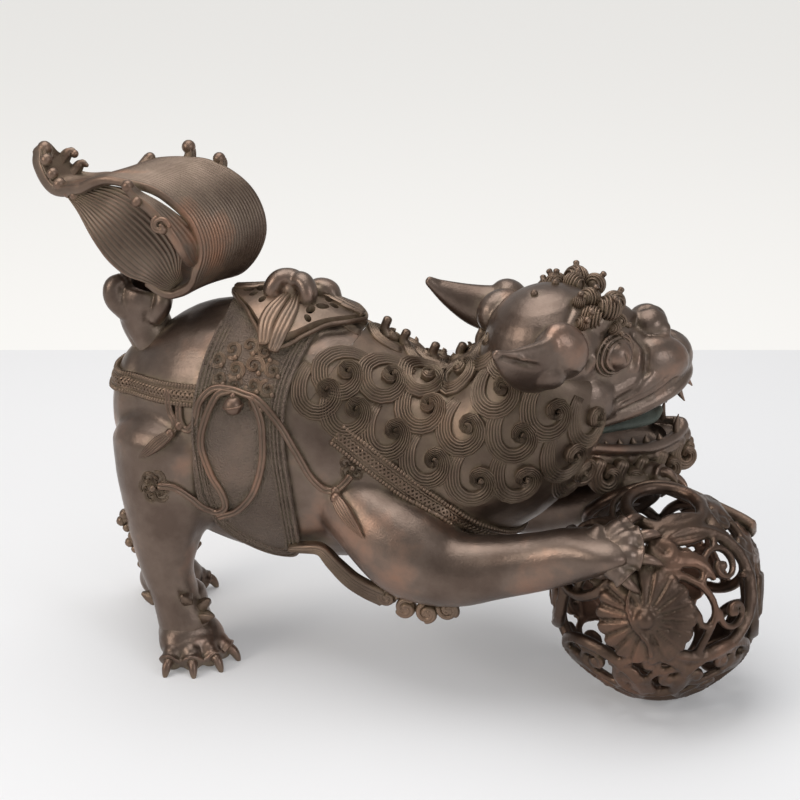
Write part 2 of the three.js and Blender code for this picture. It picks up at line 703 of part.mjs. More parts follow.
// The short near leaf goes straight back to the tip, with its edge curled up in fingers
function tailLeaf() {
  const leaf = limb([
    { at: [-118, -18, 203], wide: 13, tall: 2.8 },
    { at: [-130, -20, 217], wide: 18, tall: 2.8 },
    { at: [-147, -18, 231], wide: 19, tall: 2.8 },
    { at: [-163, -14, 239], wide: 13, tall: 2.8 },
    { at: [-174, -10, 244], wide: 5, tall: 2.6 },
  ], { sides: 10, across: TAIL_ACROSS });
  const finger = limb([
    { at: [-116, -35, 226], wide: 5, tall: 4 },
    { at: [-124, -34, 240], wide: 4, tall: 3.4 },
    { at: [-133, -33, 251], wide: 3, tall: 3 },
    { at: [-136, -33, 256], wide: 3.4, tall: 3.4 },
  ], { sides: 8, across: TAIL_ACROSS });
  const root = limb([
    { at: [-124, -26, 212], wide: 9, tall: 3 },
    { at: [-116, -34, 228], wide: 5, tall: 3.4 },
  ], { sides: 8, across: TAIL_ACROSS });
  const clear = tailRoll(GAP).add(tailBase(GAP));
  return largest(join(leaf, root, finger).subtract(clear));
}

function tailPlume() {
  const fingers = [
    [[-122, 26, 256], [-120, 30, 262], [-121, 31, 267], [-124, 31, 268]],
    [[-106, 27, 252], [-103, 30, 258], [-104, 31, 261]],
    [[-180, 4, 258], [-176, 6, 263], [-174, 6, 264]],
  ].map((points) => cord(points, 2.6, 8, 6));
  return largest(join(tailRoll(), ...fingers).subtract(tailBase(GAP)));
}

// The pin through the rump wall into the stump of the tail
function tailPin(grow = 0) {
  const reach = (far) => [-124 - 0.387 * far, 0, 150 + 0.922 * far];
  return rod(reach(0), reach(grow ? 35 : 34), RIVET_RADIUS + grow, 10);
}

// ---------------------------------------------------------------- cords, bells and ornaments

// The scrolled mount on the flap, over which the harness cords pass
function saddleOrnament(side) {
  const at = [-72, side * 51.5, 156];
  const lobes = [[-11, 4], [11, 6], [0, 8], [0, 0]];
  const seat = trunk(2 * GAP + CLOTH_THICK);
  const solids = lobes.map(([along, up]) => {
    const centre = [at[0] + along, at[1] - side * 1.5, at[2] + up];
    return ellipsoid(centre, [8, 5, 7], [0, 0, 0], 8);
  });
  return largest(join(...solids).intersect(trunk(6.5)).subtract(seat).subtract(bell(side, GAP)));
}

function bell(side, grow = 0) {
  return ellipsoid([-72, side * 57.5, 150], [5 + grow, 4.5 + grow, 5 + grow], [0, 0, 0], 12);
}

// A place on the flank, some way above the skin
function onFlank(side, [x, z, rise]) {
  return [x, side * flankAt(x, z, rise), z];
}

// One flank's harness cord: from the crupper strap, over the ornament and down to the front tassel
function harnessCord(side) {
  const route = [[-106, 140, 5], [-97, 137, 5], [-92, 147, 6], [-86, 159, 8.5], [-72, 163, 8.8],
    [-60, 158, 8.8], [-51, 145, 7], [-44, 130, 5], [-36, 115, 5], [-28, 104, 6]];
  const run = cord(route.map((place) => onFlank(side, place)), CORD_RADIUS, 8, 24);
  return largest(run.subtract(frontTassel(side, GAP)).subtract(bell(side, GAP)));
}

// The tassel at the cord's lower end, just behind the shoulder
function frontTassel(side, grow = 0) {
  return limb([
    { at: onFlank(side, [-27, 103, 7]), wide: 2.6 },
    { at: onFlank(side, [-22, 95, 8]), wide: 4 },
    { at: onFlank(side, [-17, 88, 8]), wide: 1.6 },
  ], { sides: 8, grow });
}

// Half width of the trunk at a place on its flank, plus a height above the skin
function flankAt(x, z, rise) {
  const i = Math.max(1, TRUNK.findIndex((station) => station.at[0] > x));
  const [from, to] = [TRUNK[i - 1], TRUNK[i]];
  const share = (x - from.at[0]) / (to.at[0] - from.at[0]);
  const mix = (a, b) => a + share * (b - a);
  const wide = mix(from.wide, to.wide) + rise;
  const tall = mix(from.tall, to.tall) + rise;
  const up = (z - mix(from.at[2], to.at[2])) / tall;
  return wide * Math.sqrt(Math.max(0, 1 - up * up));
}

// ---------------------------------------------------------------- assembly

const DARK_BRONZE = { color: 0x5f4d44, roughness: 0.5, metalness: 0.8 };
const RUBBED_BRONZE = { color: 0x7c5541, roughness: 0.42, metalness: 0.85 };
const DUSTED_BRONZE = { color: 0x6d5f4e, roughness: 0.65, metalness: 0.7 };
const GREEN_BRONZE = { color: 0x55685a, roughness: 0.7, metalness: 0.5 };

const lion = new THREE.Group();
const head = new THREE.Group();
head.position.copy(HEAD.position);
head.rotation.copy(HEAD.rotation);
lion.add(head);

function place(name, solid, finish, group = lion) {
  const mesh = new THREE.Mesh(geometryOf(solid), new THREE.MeshStandardMaterial(finish));
  mesh.name = name;
  group.add(mesh);
}

place('torso_shell', torsoShell(), DARK_BRONZE);
place('mane_shell', maneShell(), DUSTED_BRONZE);
place('saddle_cloth', saddleCloth(), DARK_BRONZE);
place('saddle_lid', saddleLid(), DARK_BRONZE);
place('lid_knot', lidKnot(), RUBBED_BRONZE);
place('breast_strap', breastStrap(), DUSTED_BRONZE);
place('crupper_strap', crupperStrap(), DUSTED_BRONZE);
for (const side of [RIGHT, LEFT]) {
  const word = side === RIGHT ? 'right' : 'left';
  place(`${word}_saddle_ornament`, saddleOrnament(side), DUSTED_BRONZE);
  place(`${word}_bell`, bell(side), RUBBED_BRONZE);
  place(`${word}_harness_cord`, harnessCord(side), DUSTED_BRONZE);
  place(`${word}_front_tassel`, largest(frontTassel(side).subtract(foreLegs(GAP))), DUSTED_BRONZE);
  place(`${word}_hind_leg`, hindLeg(side), DARK_BRONZE);
  place(`${word}_paw_rivet`, pawRivet(side, 0), DARK_BRONZE);
}
place('right_fore_leg', rightForeLeg(), RUBBED_BRONZE);
place('left_fore_leg', leftForeLeg(), DARK_BRONZE);
for (const rivet of LEG_RIVETS) place(rivet.name, legRivet(rivet), DARK_BRONZE);
place('ball_shell', ballShell(), RUBBED_BRONZE);
place('ball_sash', ballSash(), RUBBED_BRONZE);
place('tail_base', largest(tailBase().subtract(trunk(GAP)).subtract(tailPin(GAP))), DUSTED_BRONZE);
place('tail_plume', tailPlume(), DARK_BRONZE);
place('tail_near_leaf', tailLeaf(), DARK_BRONZE);
place('tail_pin', tailPin(), DARK_BRONZE);

place('head_shell', headShell(), DARK_BRONZE, head);
place('lower_jaw', lowerJaw(), DARK_BRONZE, head);
place('beard', beard(), DUSTED_BRONZE, head);
place('tongue', tongue(), GREEN_BRONZE, head);
place('upper_teeth', upperTeeth(), RUBBED_BRONZE, head);
place('lower_teeth', lowerTeeth(), RUBBED_BRONZE, head);
place('right_ear', earPiece(-1), RUBBED_BRONZE, head);
place('left_ear', earPiece(1), DARK_BRONZE, head);

export default lion;
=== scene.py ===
import math

import bmesh
import bpy
import numpy as np
from mathutils import Euler, Matrix, Vector
from mathutils.bvhtree import BVHTree


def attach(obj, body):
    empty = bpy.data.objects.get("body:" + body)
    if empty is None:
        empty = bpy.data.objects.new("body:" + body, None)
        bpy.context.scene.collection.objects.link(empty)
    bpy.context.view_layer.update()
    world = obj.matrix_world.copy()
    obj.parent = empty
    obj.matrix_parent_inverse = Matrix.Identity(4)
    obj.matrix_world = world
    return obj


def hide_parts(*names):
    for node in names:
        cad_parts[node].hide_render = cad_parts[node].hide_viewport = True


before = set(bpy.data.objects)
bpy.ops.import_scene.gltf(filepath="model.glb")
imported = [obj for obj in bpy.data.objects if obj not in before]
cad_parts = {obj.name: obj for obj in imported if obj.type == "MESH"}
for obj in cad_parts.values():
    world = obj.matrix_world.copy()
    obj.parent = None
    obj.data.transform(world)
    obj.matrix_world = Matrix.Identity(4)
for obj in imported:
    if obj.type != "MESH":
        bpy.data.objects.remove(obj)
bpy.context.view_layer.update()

# ---------------------------------------------------------------- viewpoint, floor and light
# The burner stands on a pale table top with a pale backdrop line behind it, lit by broad
# soft lamps from above, so that the dark metal shows its forms in soft highlights.

CAMERA_TURN = math.radians(12)
CAMERA_RISE = math.radians(20)
CAMERA_REACH = 1.0
AIM = Vector((0, 0, 0.142))
BACKDROP_BEHIND = 0.506
SHEET_HALF = 4


def linear(hex_colour):
    """An sRGB hex colour as linear red, green, blue and alpha."""
    parts = [int(hex_colour[i:i + 2], 16) / 255 for i in (1, 3, 5)]
    return tuple(p / 12.92 if p <= 0.04045 else ((p + 0.055) / 1.055) ** 2.4 for p in parts) + (1,)


def add(tree, kind, links=None, **settings):
    """Adds a node, sets its properties, and sets or links its inputs by name or number."""
    made = tree.nodes.new(kind)
    for name, value in settings.items():
        setattr(made, name, value)
    for name, value in (links or {}).items():
        if isinstance(value, bpy.types.NodeSocket):
            tree.links.new(value, made.inputs[name])
        else:
            made.inputs[name].default_value = value
    return made


def plain_finish(name, hex_colour, roughness, lit=0.0):
    """A matt painted board: an even colour with a faint cloudiness, lit from behind if asked."""
    made = bpy.data.materials.new(name)
    made.use_nodes = True
    tree = made.node_tree
    where = add(tree, "ShaderNodeTexCoord").outputs["Object"]
    cloud = add(tree, "ShaderNodeTexNoise", {"Vector": where, "Scale": 3.0, "Detail": 2.0})
    base = linear(hex_colour)
    low = tuple(0.985 * c for c in base[:3]) + (1,)
    tint = add(tree, "ShaderNodeMixRGB", {"Fac": cloud.outputs["Fac"], "Color1": low, "Color2": base})
    shader = tree.nodes["Principled BSDF"]
    tree.links.new(tint.outputs[0], shader.inputs["Base Color"])
    shader.inputs["Roughness"].default_value = roughness
    shader.inputs["Specular IOR Level"].default_value = 0.25
    shader.inputs["Emission Color"].default_value = base
    shader.inputs["Emission Strength"].default_value = lit
    return made


back = Vector((
    math.sin(CAMERA_TURN) * math.cos(CAMERA_RISE),
    -math.cos(CAMERA_TURN) * math.cos(CAMERA_RISE),
    math.sin(CAMERA_RISE),
))
camera_data = bpy.data.cameras.new("view_camera")
camera_data.sensor_width = 36
camera_data.lens = 86.5
camera = bpy.data.objects.new("view_camera", camera_data)
camera.location = AIM + back * CAMERA_REACH
camera.rotation_mode = "QUATERNION"
camera.rotation_quaternion = (-back).to_track_quat("-Z", "Y")
bpy.context.collection.objects.link(camera)
bpy.context.scene.camera = camera


def table_sheet(name, near, far, material):
    """A flat sheet on the ground, square to the camera, between two distances behind the aim."""
    sheet = bmesh.new()
    bmesh.ops.create_grid(sheet, x_segments=1, y_segments=1, size=1)
    for vert in sheet.verts:
        vert.co = Vector((SHEET_HALF * vert.co.x, near if vert.co.y < 0 else far, 0))
    bmesh.ops.rotate(sheet, verts=sheet.verts, cent=(0, 0, 0), matrix=Matrix.Rotation(CAMERA_TURN, 3, "Z"))
    mesh = bpy.data.meshes.new(name)
    sheet.to_mesh(mesh)
    sheet.free()
    made = bpy.data.objects.new(name, mesh)
    bpy.context.collection.objects.link(made)
    mesh.materials.append(material)


table_sheet("table_top", -SHEET_HALF, BACKDROP_BEHIND, plain_finish("painted_table", "#d6d6d7", 0.6, 0.25))
table_sheet("backdrop", BACKDROP_BEHIND, 2 * SHEET_HALF, plain_finish("painted_backdrop", "#959492", 0.8,
                                                                      2.12))


def softbox(name, place, aim, width, height, watts, tint="#ffffff"):
    """A broad rectangular lamp behind a diffuser."""
    lamp = bpy.data.lights.new(name, "AREA")
    lamp.shape = "RECTANGLE"
    lamp.size, lamp.size_y = width, height
    lamp.energy = watts
    lamp.color = linear(tint)[:3]
    made = bpy.data.objects.new(name, lamp)
    made.location = place
    made.rotation_mode = "QUATERNION"
    made.rotation_quaternion = (Vector(aim) - Vector(place)).to_track_quat("-Z", "Y")
    bpy.context.collection.objects.link(made)


softbox("overhead_softbox", (-0.15, 0.1, 1.3), (0.0, 0.05, 0.1), 1.3, 1.0, 11.5)
softbox("left_softbox", (-1.1, -1.0, 0.9), (0.0, 0.0, 0.12), 0.7, 0.7, 8, "#fff8f0")
softbox("right_softbox", (1.2, -0.8, 0.7), (0.0, 0.0, 0.12), 0.5, 0.7, 4, "#f4f8ff")

world = bpy.data.worlds.new("studio_air")
world.use_nodes = True
world.node_tree.nodes["Background"].inputs["Color"].default_value = linear("#f2f2f2")
world.node_tree.nodes["Background"].inputs["Strength"].default_value = 0.5
bpy.context.scene.world = world
bpy.context.scene.view_settings.view_transform = "Standard"

# ---------------------------------------------------------------- body casting
# The hollow body of the lion is cast bronze about 3.4 mm thick, in one flowing form with the
# haunches and shoulders. The legs, the mane and the head were cast apart and riveted on.

MM = 0.001
WALL = 3.4
# Stations: x, y, z, half width and half height of the wax
TRUNK = [
    (-139, 0, 135, 27, 33), (-111, 0, 132, 43, 58), (-82, 0, 126, 49, 68), (-49, 0, 121, 51, 69),
    (-16, 0, 115, 48, 61), (16, 0, 113, 45, 52), (46, 0, 121, 43, 46), (66, 1, 142, 41, 42),
    (77, 2, 165, 34, 34),
]
HIND_LEG = [
    (-114, 25, 118, 27, 35), (-116, 31, 94, 22, 29), (-119, 34, 72, 17, 20.5), (-119, 35, 52, 13.5, 14.5),
    (-115, 35, 36, 12.5, 13), (-110, 35, 20, 14, 15),
]
HIND_STRIDE = [0.25, 0.4, 0.6, 0.8, 0.92, 1]
STRIDE = 34
RIGHT_FORE = [
    (-20, -32, 100, 20, 20), (0, -40, 87, 24, 24), (18, -46, 77, 24, 25), (38, -50, 72, 19, 20),
    (60, -52, 76, 16, 16.5), (82, -54, 82, 14.5, 15), (98, -56, 88, 14.5, 14), (109, -58, 91, 15.5, 12),
    (119, -60, 93, 15, 8.5), (126, -61, 94, 12, 5),
]
LEFT_FORE = [
    (8, 36, 100, 24, 28), (32, 49, 82, 24, 24), (55, 44, 72, 19, 18), (76, 34, 75, 14, 14.5),
    (100, 21, 88, 13.5, 13), (117, 19, 99, 15.5, 11), (126, 20, 101, 14, 7),
]
BODY_VOXEL = 1.7
BODY_SMOOTHING = 10
DOME_STEPS = (90, 68, 45, 22)
HAUNCH_DRAWN = 0.3
CUT_CORNERS = 9


def spline(table, rows):
    """Evenly spaced rows along a smooth curve through the rows of a table."""
    table = np.array(table, float)
    padded = np.vstack([2 * table[0] - table[1], table, 2 * table[-1] - table[-2]])
    place = np.linspace(0, len(table) - 1, rows)
    step = np.minimum(place.astype(int), len(table) - 2)
    t = (place - step)[:, None]
    a, b, c, d = (padded[step + k] for k in range(4))
    bend, twist = 2 * a - 5 * b + 4 * c - d, 3 * b - a - 3 * c + d
    return 0.5 * (2 * b + (c - a) * t + bend * t ** 2 + twist * t ** 3)


def unit(rows):
    """Rows of directions, each made of unit length."""
    return rows / np.linalg.norm(rows, axis=1)[:, None]


def oval(sides):
    """A round outline of unit size."""
    turn = np.arange(sides) * 2 * math.pi / sides
    return np.column_stack([np.cos(turn), np.sin(turn)])


def add_shape(bm, part):
    """Adds one bmesh to another and frees it."""
    mesh = bpy.data.meshes.new("part")
    part.to_mesh(mesh)
    part.free()
    bm.from_mesh(mesh)
    bpy.data.meshes.remove(mesh)


def grid_of(bm, places):
    """A closed tube of faces through rows of points; rows of one point become its tips."""
    rows, sides = places.shape[:2]
    tube = bmesh.new()
    for vert in bmesh.ops.create_grid(tube, x_segments=sides, y_segments=rows - 1, size=1)["verts"]:
        i = round((vert.co.y + 1) / 2 * (rows - 1))
        j = round((vert.co.x + 1) / 2 * sides) % sides
        vert.co = places[i, j]
    bmesh.ops.remove_doubles(tube, verts=tube.verts, dist=1e-4)
    bmesh.ops.recalc_face_normals(tube, faces=tube.faces)
    add_shape(bm, tube)


def sweep(bm, stations, outline, rows=24, across=(0, 1, 0), domes=(0.7, 0.7)):
    """Sweeps an outline through stations of x, y, z, half width and half height, with domed ends."""
    path = spline(stations, rows)
    centre = path[:, :3]
    tangent = unit(np.gradient(centre, axis=0))
    across = np.array(across, float)
    side = spline(across, rows) if across.ndim == 2 else np.tile(across, (rows, 1))
    side = unit(side - tangent * np.sum(side * tangent, axis=1)[:, None])
    upward = np.cross(tangent, side)
    first_dome = [(0, -angle, domes[0]) for angle in DOME_STEPS]
    last_dome = [(rows - 1, angle, domes[1]) for angle in reversed(DOME_STEPS)]
    rings = []
    for i, angle, dome in first_dome + [(i, 0, 0) for i in range(rows)] + last_dome:
        angle = math.radians(angle)
        size = max(math.cos(angle), 0)
        out = min(path[i, 3:5]) * dome * math.sin(angle)
        wide = outline[:, :1] * path[i, 3] * size
        tall = outline[:, 1:2] * path[i, 4] * size
        rings.append(centre[i] + tangent[i] * out + side[i] * wide + upward[i] * tall)
    grid_of(bm, np.array(rings))


def ball(bm, at, half, turn=(0, 0, 0), sides=16):
    """An ellipsoid with one half size or three in millimetres, turned by degrees."""
    half = half if isinstance(half, (tuple, list)) else (half,) * 3
    place = Matrix.LocRotScale(Vector(at), Euler([math.radians(t) for t in turn]), Vector(half))
    round_one = bmesh.new()
    bmesh.ops.create_uvsphere(round_one, u_segments=sides, v_segments=max(6, sides // 2), radius=1,
                              matrix=place)
    add_shape(bm, round_one)


def evaluated(mesh, *modifiers):
    """The mesh that a stack of modifiers makes of another mesh."""
    holder = bpy.data.objects.new("holder", mesh)
    bpy.context.collection.objects.link(holder)
    for kind, settings in modifiers:
        step = holder.modifiers.new(kind.lower(), kind)
        for name, value in settings.items():
            setattr(step, name, value)
    done = bpy.data.meshes.new_from_object(holder.evaluated_get(bpy.context.evaluated_depsgraph_get()))
    bpy.data.objects.remove(holder)
    return done


def fused(bm, voxel, smoothing):
    """One skin over all the closed shapes of a bmesh, smoothed as wax is before casting."""
    mesh = bpy.data.meshes.new("wax")
    bm.to_mesh(mesh)
    bm.free()
    return evaluated(
        mesh,
        ("REMESH", {"mode": "VOXEL", "voxel_size": voxel}),
        ("SMOOTH", {"iterations": smoothing, "factor": 0.5}),
    )


def corners(mesh):
    """Places and normals of a mesh's corners."""
    places = np.empty(3 * len(mesh.vertices))
    normals = np.empty(3 * len(mesh.vertices))
    mesh.vertices.foreach_get("co", places)
    mesh.vertices.foreach_get("normal", normals)
    return places.reshape(-1, 3), normals.reshape(-1, 3)


def press(mesh, line, width, height, facing=None):
    """Raises, or with a negative height sinks, the surface along a line by a rounded stroke."""
    places, normals = corners(mesh)
    line = np.array(line, float).reshape(-1, 3)
    near = np.full(len(places), 1e9)
    for start, end in zip(line, line[1:] if len(line) > 1 else line):
        run = end - start
        share = np.clip((places - start) @ run / max(run @ run, 1e-9), 0, 1)
        near = np.minimum(near, np.linalg.norm(places - start - share[:, None] * run, axis=1))
    amount = height * np.exp(-(near / width) ** 2)
    if facing is not None:
        amount *= (normals @ np.array(facing, float)) > 0
    places += normals * amount[:, None]
    mesh.vertices.foreach_set("co", places.ravel())
    mesh.update()


def cut(bm, normal, distance, keep_beyond=True):
    """Cuts a closed shape at a plane, keeps one side of it and closes the cut."""
    normal = Vector(normal).normalized()
    geom = bm.verts[:] + bm.edges[:] + bm.faces[:]
    made = bmesh.ops.bisect_plane(
        bm, geom=geom, plane_co=normal * distance, plane_no=normal,
        clear_inner=keep_beyond, clear_outer=not keep_beyond,
    )
    rim = [e for e in made["geom_cut"] if isinstance(e, bmesh.types.BMEdge) and e.is_boundary]
    for face in bmesh.ops.holes_fill(bm, edges=rim)["faces"]:
        face.smooth = False
        for edge in face.edges:
            edge.smooth = False


def cast(bm, name, body, slot, material, *nodes, sharp=None):
    """Turns a closed bmesh in millimetres into a finished piece of the object, in metres.

    Faces with many corners are sawn cuts and stay flat.
    """
    bmesh.ops.recalc_face_normals(bm, faces=bm.faces)
    bmesh.ops.scale(bm, vec=(MM, MM, MM), verts=bm.verts)
    for face in bm.faces:
        face.smooth = len(face.verts) < CUT_CORNERS
    mesh = bpy.data.meshes.new(name)
    bm.to_mesh(mesh)
    bm.free()
    if sharp:
        mesh.set_sharp_from_angle(angle=math.radians(sharp))
    mesh.materials.append(material)
    made = bpy.data.objects.new(name, mesh)
    bpy.context.collection.objects.link(made)
    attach(made, body)
    if nodes:
        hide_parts(*nodes)
    return made


def opened(mesh):
    """A bmesh copy of a mesh."""
    bm = bmesh.new()
    bm.from_mesh(mesh)
    return bm


# Sizes on the metal in millimetres. The real casting grain is about 0.3 mm and is drawn coarser,
# so that it shows.
PATINA_PATCH = 45.5
PATINA_MOTTLE = 6.67
CASTING_GRAIN = 1.11
DUSTY_HOLLOW = 6.5
# The dark brown painted into concave grooves as shade
GROOVE_PAINTED_SHADE = "#2a211b"


def bronze(name, deep, body, rub, dust, roughness, dusty, rubbed, grain=0.12, metallic=0.9):
    """Cast bronze with a brown patina, rubbed on its edges, dusty in hollows, and with painted shade
    darkening its grooves.
    """
    made = bpy.data.materials.new(name)
    made.use_nodes = True
    tree = made.node_tree
    where = add(tree, "ShaderNodeTexCoord").outputs["Object"]
    cloud = add(tree, "ShaderNodeTexNoise", {
        "Vector": where, "Scale": 1 / (PATINA_PATCH * MM), "Detail": 5.0, "Roughness": 0.6})
    mottle = add(tree, "ShaderNodeTexNoise", {
        "Vector": where, "Scale": 1 / (PATINA_MOTTLE * MM), "Detail": 4.0, "Roughness": 0.65})
    speckle = add(tree, "ShaderNodeTexNoise", {
        "Vector": where, "Scale": 1 / (CASTING_GRAIN * MM), "Detail": 3.0, "Roughness": 0.6})
    shade = add(tree, "ShaderNodeMapRange", {"Value": cloud.outputs["Fac"], "From Min": 0.36,
                                             "From Max": 0.64})
    base = add(tree, "ShaderNodeMixRGB", {
        "Fac": shade.outputs[0], "Color1": linear(deep), "Color2": linear(body)})
    ground = add(tree, "ShaderNodeNewGeometry")
    edge = add(tree, "ShaderNodeMapRange", {
        "Value": ground.outputs["Pointiness"], "From Min": 0.515, "From Max": 0.6, "To Max": 0.3 * rubbed})
    patch = add(tree, "ShaderNodeMapRange", {
        "Value": cloud.outputs["Fac"], "From Min": 0.52, "From Max": 0.7, "To Max": 0.75 * rubbed})
    worn = add(tree, "ShaderNodeMath", {0: edge.outputs[0], 1: patch.outputs[0]}, operation="ADD",
               use_clamp=True)
    warm = add(tree, "ShaderNodeMixRGB", {
        "Fac": worn.outputs[0], "Color1": base.outputs[0], "Color2": linear(rub)})
    open_air = add(tree, "ShaderNodeAmbientOcclusion", {"Distance": DUSTY_HOLLOW * MM}, samples=6)
    hollow = add(tree, "ShaderNodeMapRange", {
        "Value": open_air.outputs["AO"], "From Min": 0.92, "From Max": 0.45, "To Max": 1.0})
    broken = add(tree, "ShaderNodeMapRange", {
        "Value": mottle.outputs["Fac"], "From Min": 0.38, "From Max": 0.6, "To Min": 0.25, "To Max": 1.0})
    settled = add(tree, "ShaderNodeMath", {0: hollow.outputs[0], 1: broken.outputs[0]}, operation="MULTIPLY")
    film = add(tree, "ShaderNodeMath", {0: settled.outputs[0], 1: dusty}, operation="MULTIPLY",
               use_clamp=True)
    dusted = add(tree, "ShaderNodeMixRGB", {
        "Fac": film.outputs[0], "Color1": warm.outputs[0], "Color2": linear(dust)})
    # Painted shade: where the surface is concave (low pointiness) the colour is mixed towards a dark brown
    groove = add(tree, "ShaderNodeMapRange", {
        "Value": ground.outputs["Pointiness"], "From Min": 0.492, "From Max": 0.43, "To Max": 0.62})
    colour = add(tree, "ShaderNodeMixRGB", {
        "Fac": groove.outputs[0], "Color1": dusted.outputs[0], "Color2": linear(GROOVE_PAINTED_SHADE)})
    metal = add(tree, "ShaderNodeMapRange", {"Value": film.outputs[0], "To Min": metallic, "To Max": 0.15})
    matt = add(tree, "ShaderNodeMath", {0: film.outputs[0], 1: 0.35, 2: roughness}, operation="MULTIPLY_ADD")
    patchy = add(tree, "ShaderNodeMapRange", {
        "Value": mottle.outputs["Fac"], "From Min": 0.3, "From Max": 0.7, "To Min": -0.05, "To Max": 0.07})
    rough = add(tree, "ShaderNodeMath", {0: matt.outputs[0], 1: patchy.outputs[0]}, operation="ADD",
                use_clamp=True)
    lump = add(tree, "ShaderNodeMath", {
        0: mottle.outputs["Fac"], 1: 0.6, 2: speckle.outputs["Fac"]}, operation="MULTIPLY_ADD")
    bump = add(tree, "ShaderNodeBump", {"Height": lump.outputs[0], "Distance": grain * MM, "Strength": 1.0})
    shader = tree.nodes["Principled BSDF"]
    tree.links.new(colour.outputs[0], shader.inputs["Base Color"])
    tree.links.new(metal.outputs[0], shader.inputs["Metallic"])
    tree.links.new(rough.outputs[0], shader.inputs["Roughness"])
    tree.links.new(bump.outputs[0], shader.inputs["Normal"])
    return made


# Smooth cast bronze under a brown wax patina: a soft gloss, with copper showing where hands rub it
smooth_bronze = bronze("brown_patina_bronze", "#605148", "#817166", "#a37258", "#8f8168", 0.34, 0.6, 0.6)


def drawn_back(side, share):
    """How far back a place on one hind leg stands; only the left leg is in a stride."""
    return share * STRIDE if side > 0 else 0


def leg_stations(side):
    """The hind leg of one side."""
    return [(x - drawn_back(side, share), side * y, z, w, t)
            for (x, y, z, w, t), share in zip(HIND_LEG, HIND_STRIDE)]


def haunch(bm, side):
    """The round of muscle over one hip."""
    ball(bm, (-112 - drawn_back(side, HAUNCH_DRAWN), side * 27, 112), (26, 21, 30), (0, 12, 0))


wax = bmesh.new()
sweep(wax, TRUNK, oval(32), rows=40, domes=(0.6, 0.5))
for side in (-1, 1):
    sweep(wax, leg_stations(side), oval(24), rows=30)
    haunch(wax, side)
    ball(wax, (-120 - drawn_back(side, HAUNCH_DRAWN), side * 33, 77), (14, 15, 18), (0, 20, 0))
sweep(wax, RIGHT_FORE, oval(24), rows=36)
sweep(wax, LEFT_FORE, oval(24), rows=30)
ball(wax, (20, -50, 80), (24, 18, 20), (0, 20, 0))
ball(wax, (34, 47, 84), (24, 18, 20), (0, 20, 0))
body_cast = fused(wax, BODY_VOXEL, BODY_SMOOTHING)
press(body_cast, [(-86, -46, 118), (-92, -44, 92), (-98, -38, 70)], 7, -2.2)
press(body_cast, [(-60, -50, 84), (-20, -48, 70), (0, -44, 60)], 8, -1.2)
body_tree = BVHTree.FromBMesh(opened(body_cast))

OPENING_X, OPENING_LONG, OPENING_WIDE = -55, 27, 24
LEG_SEAM = 3.2
SEAM_GAP = 0.1
STRAP_NORMAL = Vector((0.587, 0, 0.81))
STRAP_TOP = 100.5
WITHERS_NORMAL = Vector((0.814, 0, -0.581))
WITHERS = -119.7
OFF_CASTING = 0.05
CORNER_REACH = 0.02


def carved(mesh, cutter, operation):
    """What a cutting shape leaves of a mesh, or takes out of it."""
    bmesh.ops.recalc_face_normals(cutter, faces=cutter.faces)
    tool_mesh = bpy.data.meshes.new("tool")
    cutter.to_mesh(tool_mesh)
    cutter.free()
    tool = bpy.data.objects.new("tool", tool_mesh)
    bpy.context.collection.objects.link(tool)
    settings = {"operation": operation, "solver": "MANIFOLD", "object": tool}
    done = evaluated(mesh, ("BOOLEAN", settings))
    bpy.data.objects.remove(tool)
    return done


def shade_as_one(piece, whole):
    """Gives a part cut from a casting the normals of the uncut casting, so that no seam shows."""
    places, normals = corners(whole)
    tree = BVHTree.FromPolygons(
        [tuple(p) for p in places], [tuple(p.vertices) for p in whole.polygons])
    mesh = piece.data
    wanted = []
    for vert in mesh.vertices:
        spot, _, index, gap = tree.find_nearest(vert.co / MM)
        if gap > OFF_CASTING:
            wanted.append(vert.normal.copy())
            continue
        near = whole.polygons[index].vertices
        weight = [1 / (CORNER_REACH + (Vector(places[v]) - spot).length) for v in near]
        wanted.append(sum((Vector(normals[v]) * w for v, w in zip(near, weight)), Vector()).normalized())
    mesh.normals_split_custom_set_from_vertices(wanted)


def slab(normal, distance, reach=400):
    """A large block that fills the side of a plane that its normal points to."""
    made = bmesh.new()
    bmesh.ops.create_cube(made, size=2 * reach)
    normal = Vector(normal).normalized()
    turn = Vector((0, 0, 1)).rotation_difference(normal).to_matrix().to_4x4()
    place = Matrix.Translation(normal * distance) @ turn @ Matrix.Translation((0, 0, reach))
    bmesh.ops.transform(made, matrix=place, verts=made.verts)
    return made


def grown(stations, by):
    """Stations with their half sizes made larger."""
    return [(x, y, z, w + by, t + by) for x, y, z, w, t in stations]


def leg_cutter(stations, by=LEG_SEAM):
    """The shape that parts a leg from the body, along the seam where it is riveted on."""
    made = bmesh.new()
    sweep(made, grown(stations, by), oval(24), rows=30)
    return made


def mane_cutter(shift=0.0):
    """The shape that parts the shoulders and neck from the bowl: the wedge over both seams."""
    made = slab(WITHERS_NORMAL, WITHERS + shift)
    cut(made, STRAP_NORMAL, STRAP_TOP + shift)
    return made


def round_cutter(x, y, radius, stretch=1.0, turn=0.0, low=120, high=240, segments=24):
    """An upright round or oval cutter."""
    made = bmesh.new()
    bmesh.ops.create_cone(made, cap_ends=True, segments=segments, radius1=1, radius2=1, depth=2)
    place = Matrix.Translation((x, y, (low + high) / 2)) @ Matrix.Rotation(turn, 4, "Z")
    place = place @ Matrix.Diagonal((radius * stretch, radius, (high - low) / 2, 1))
    bmesh.ops.transform(made, matrix=place, verts=made.verts)
    return made


def back_hole():
    """The upright oval cutter of the opening in the back."""
    return round_cutter(OPENING_X, 0, OPENING_WIDE, OPENING_LONG / OPENING_WIDE, low=125, high=225,
                        segments=64)


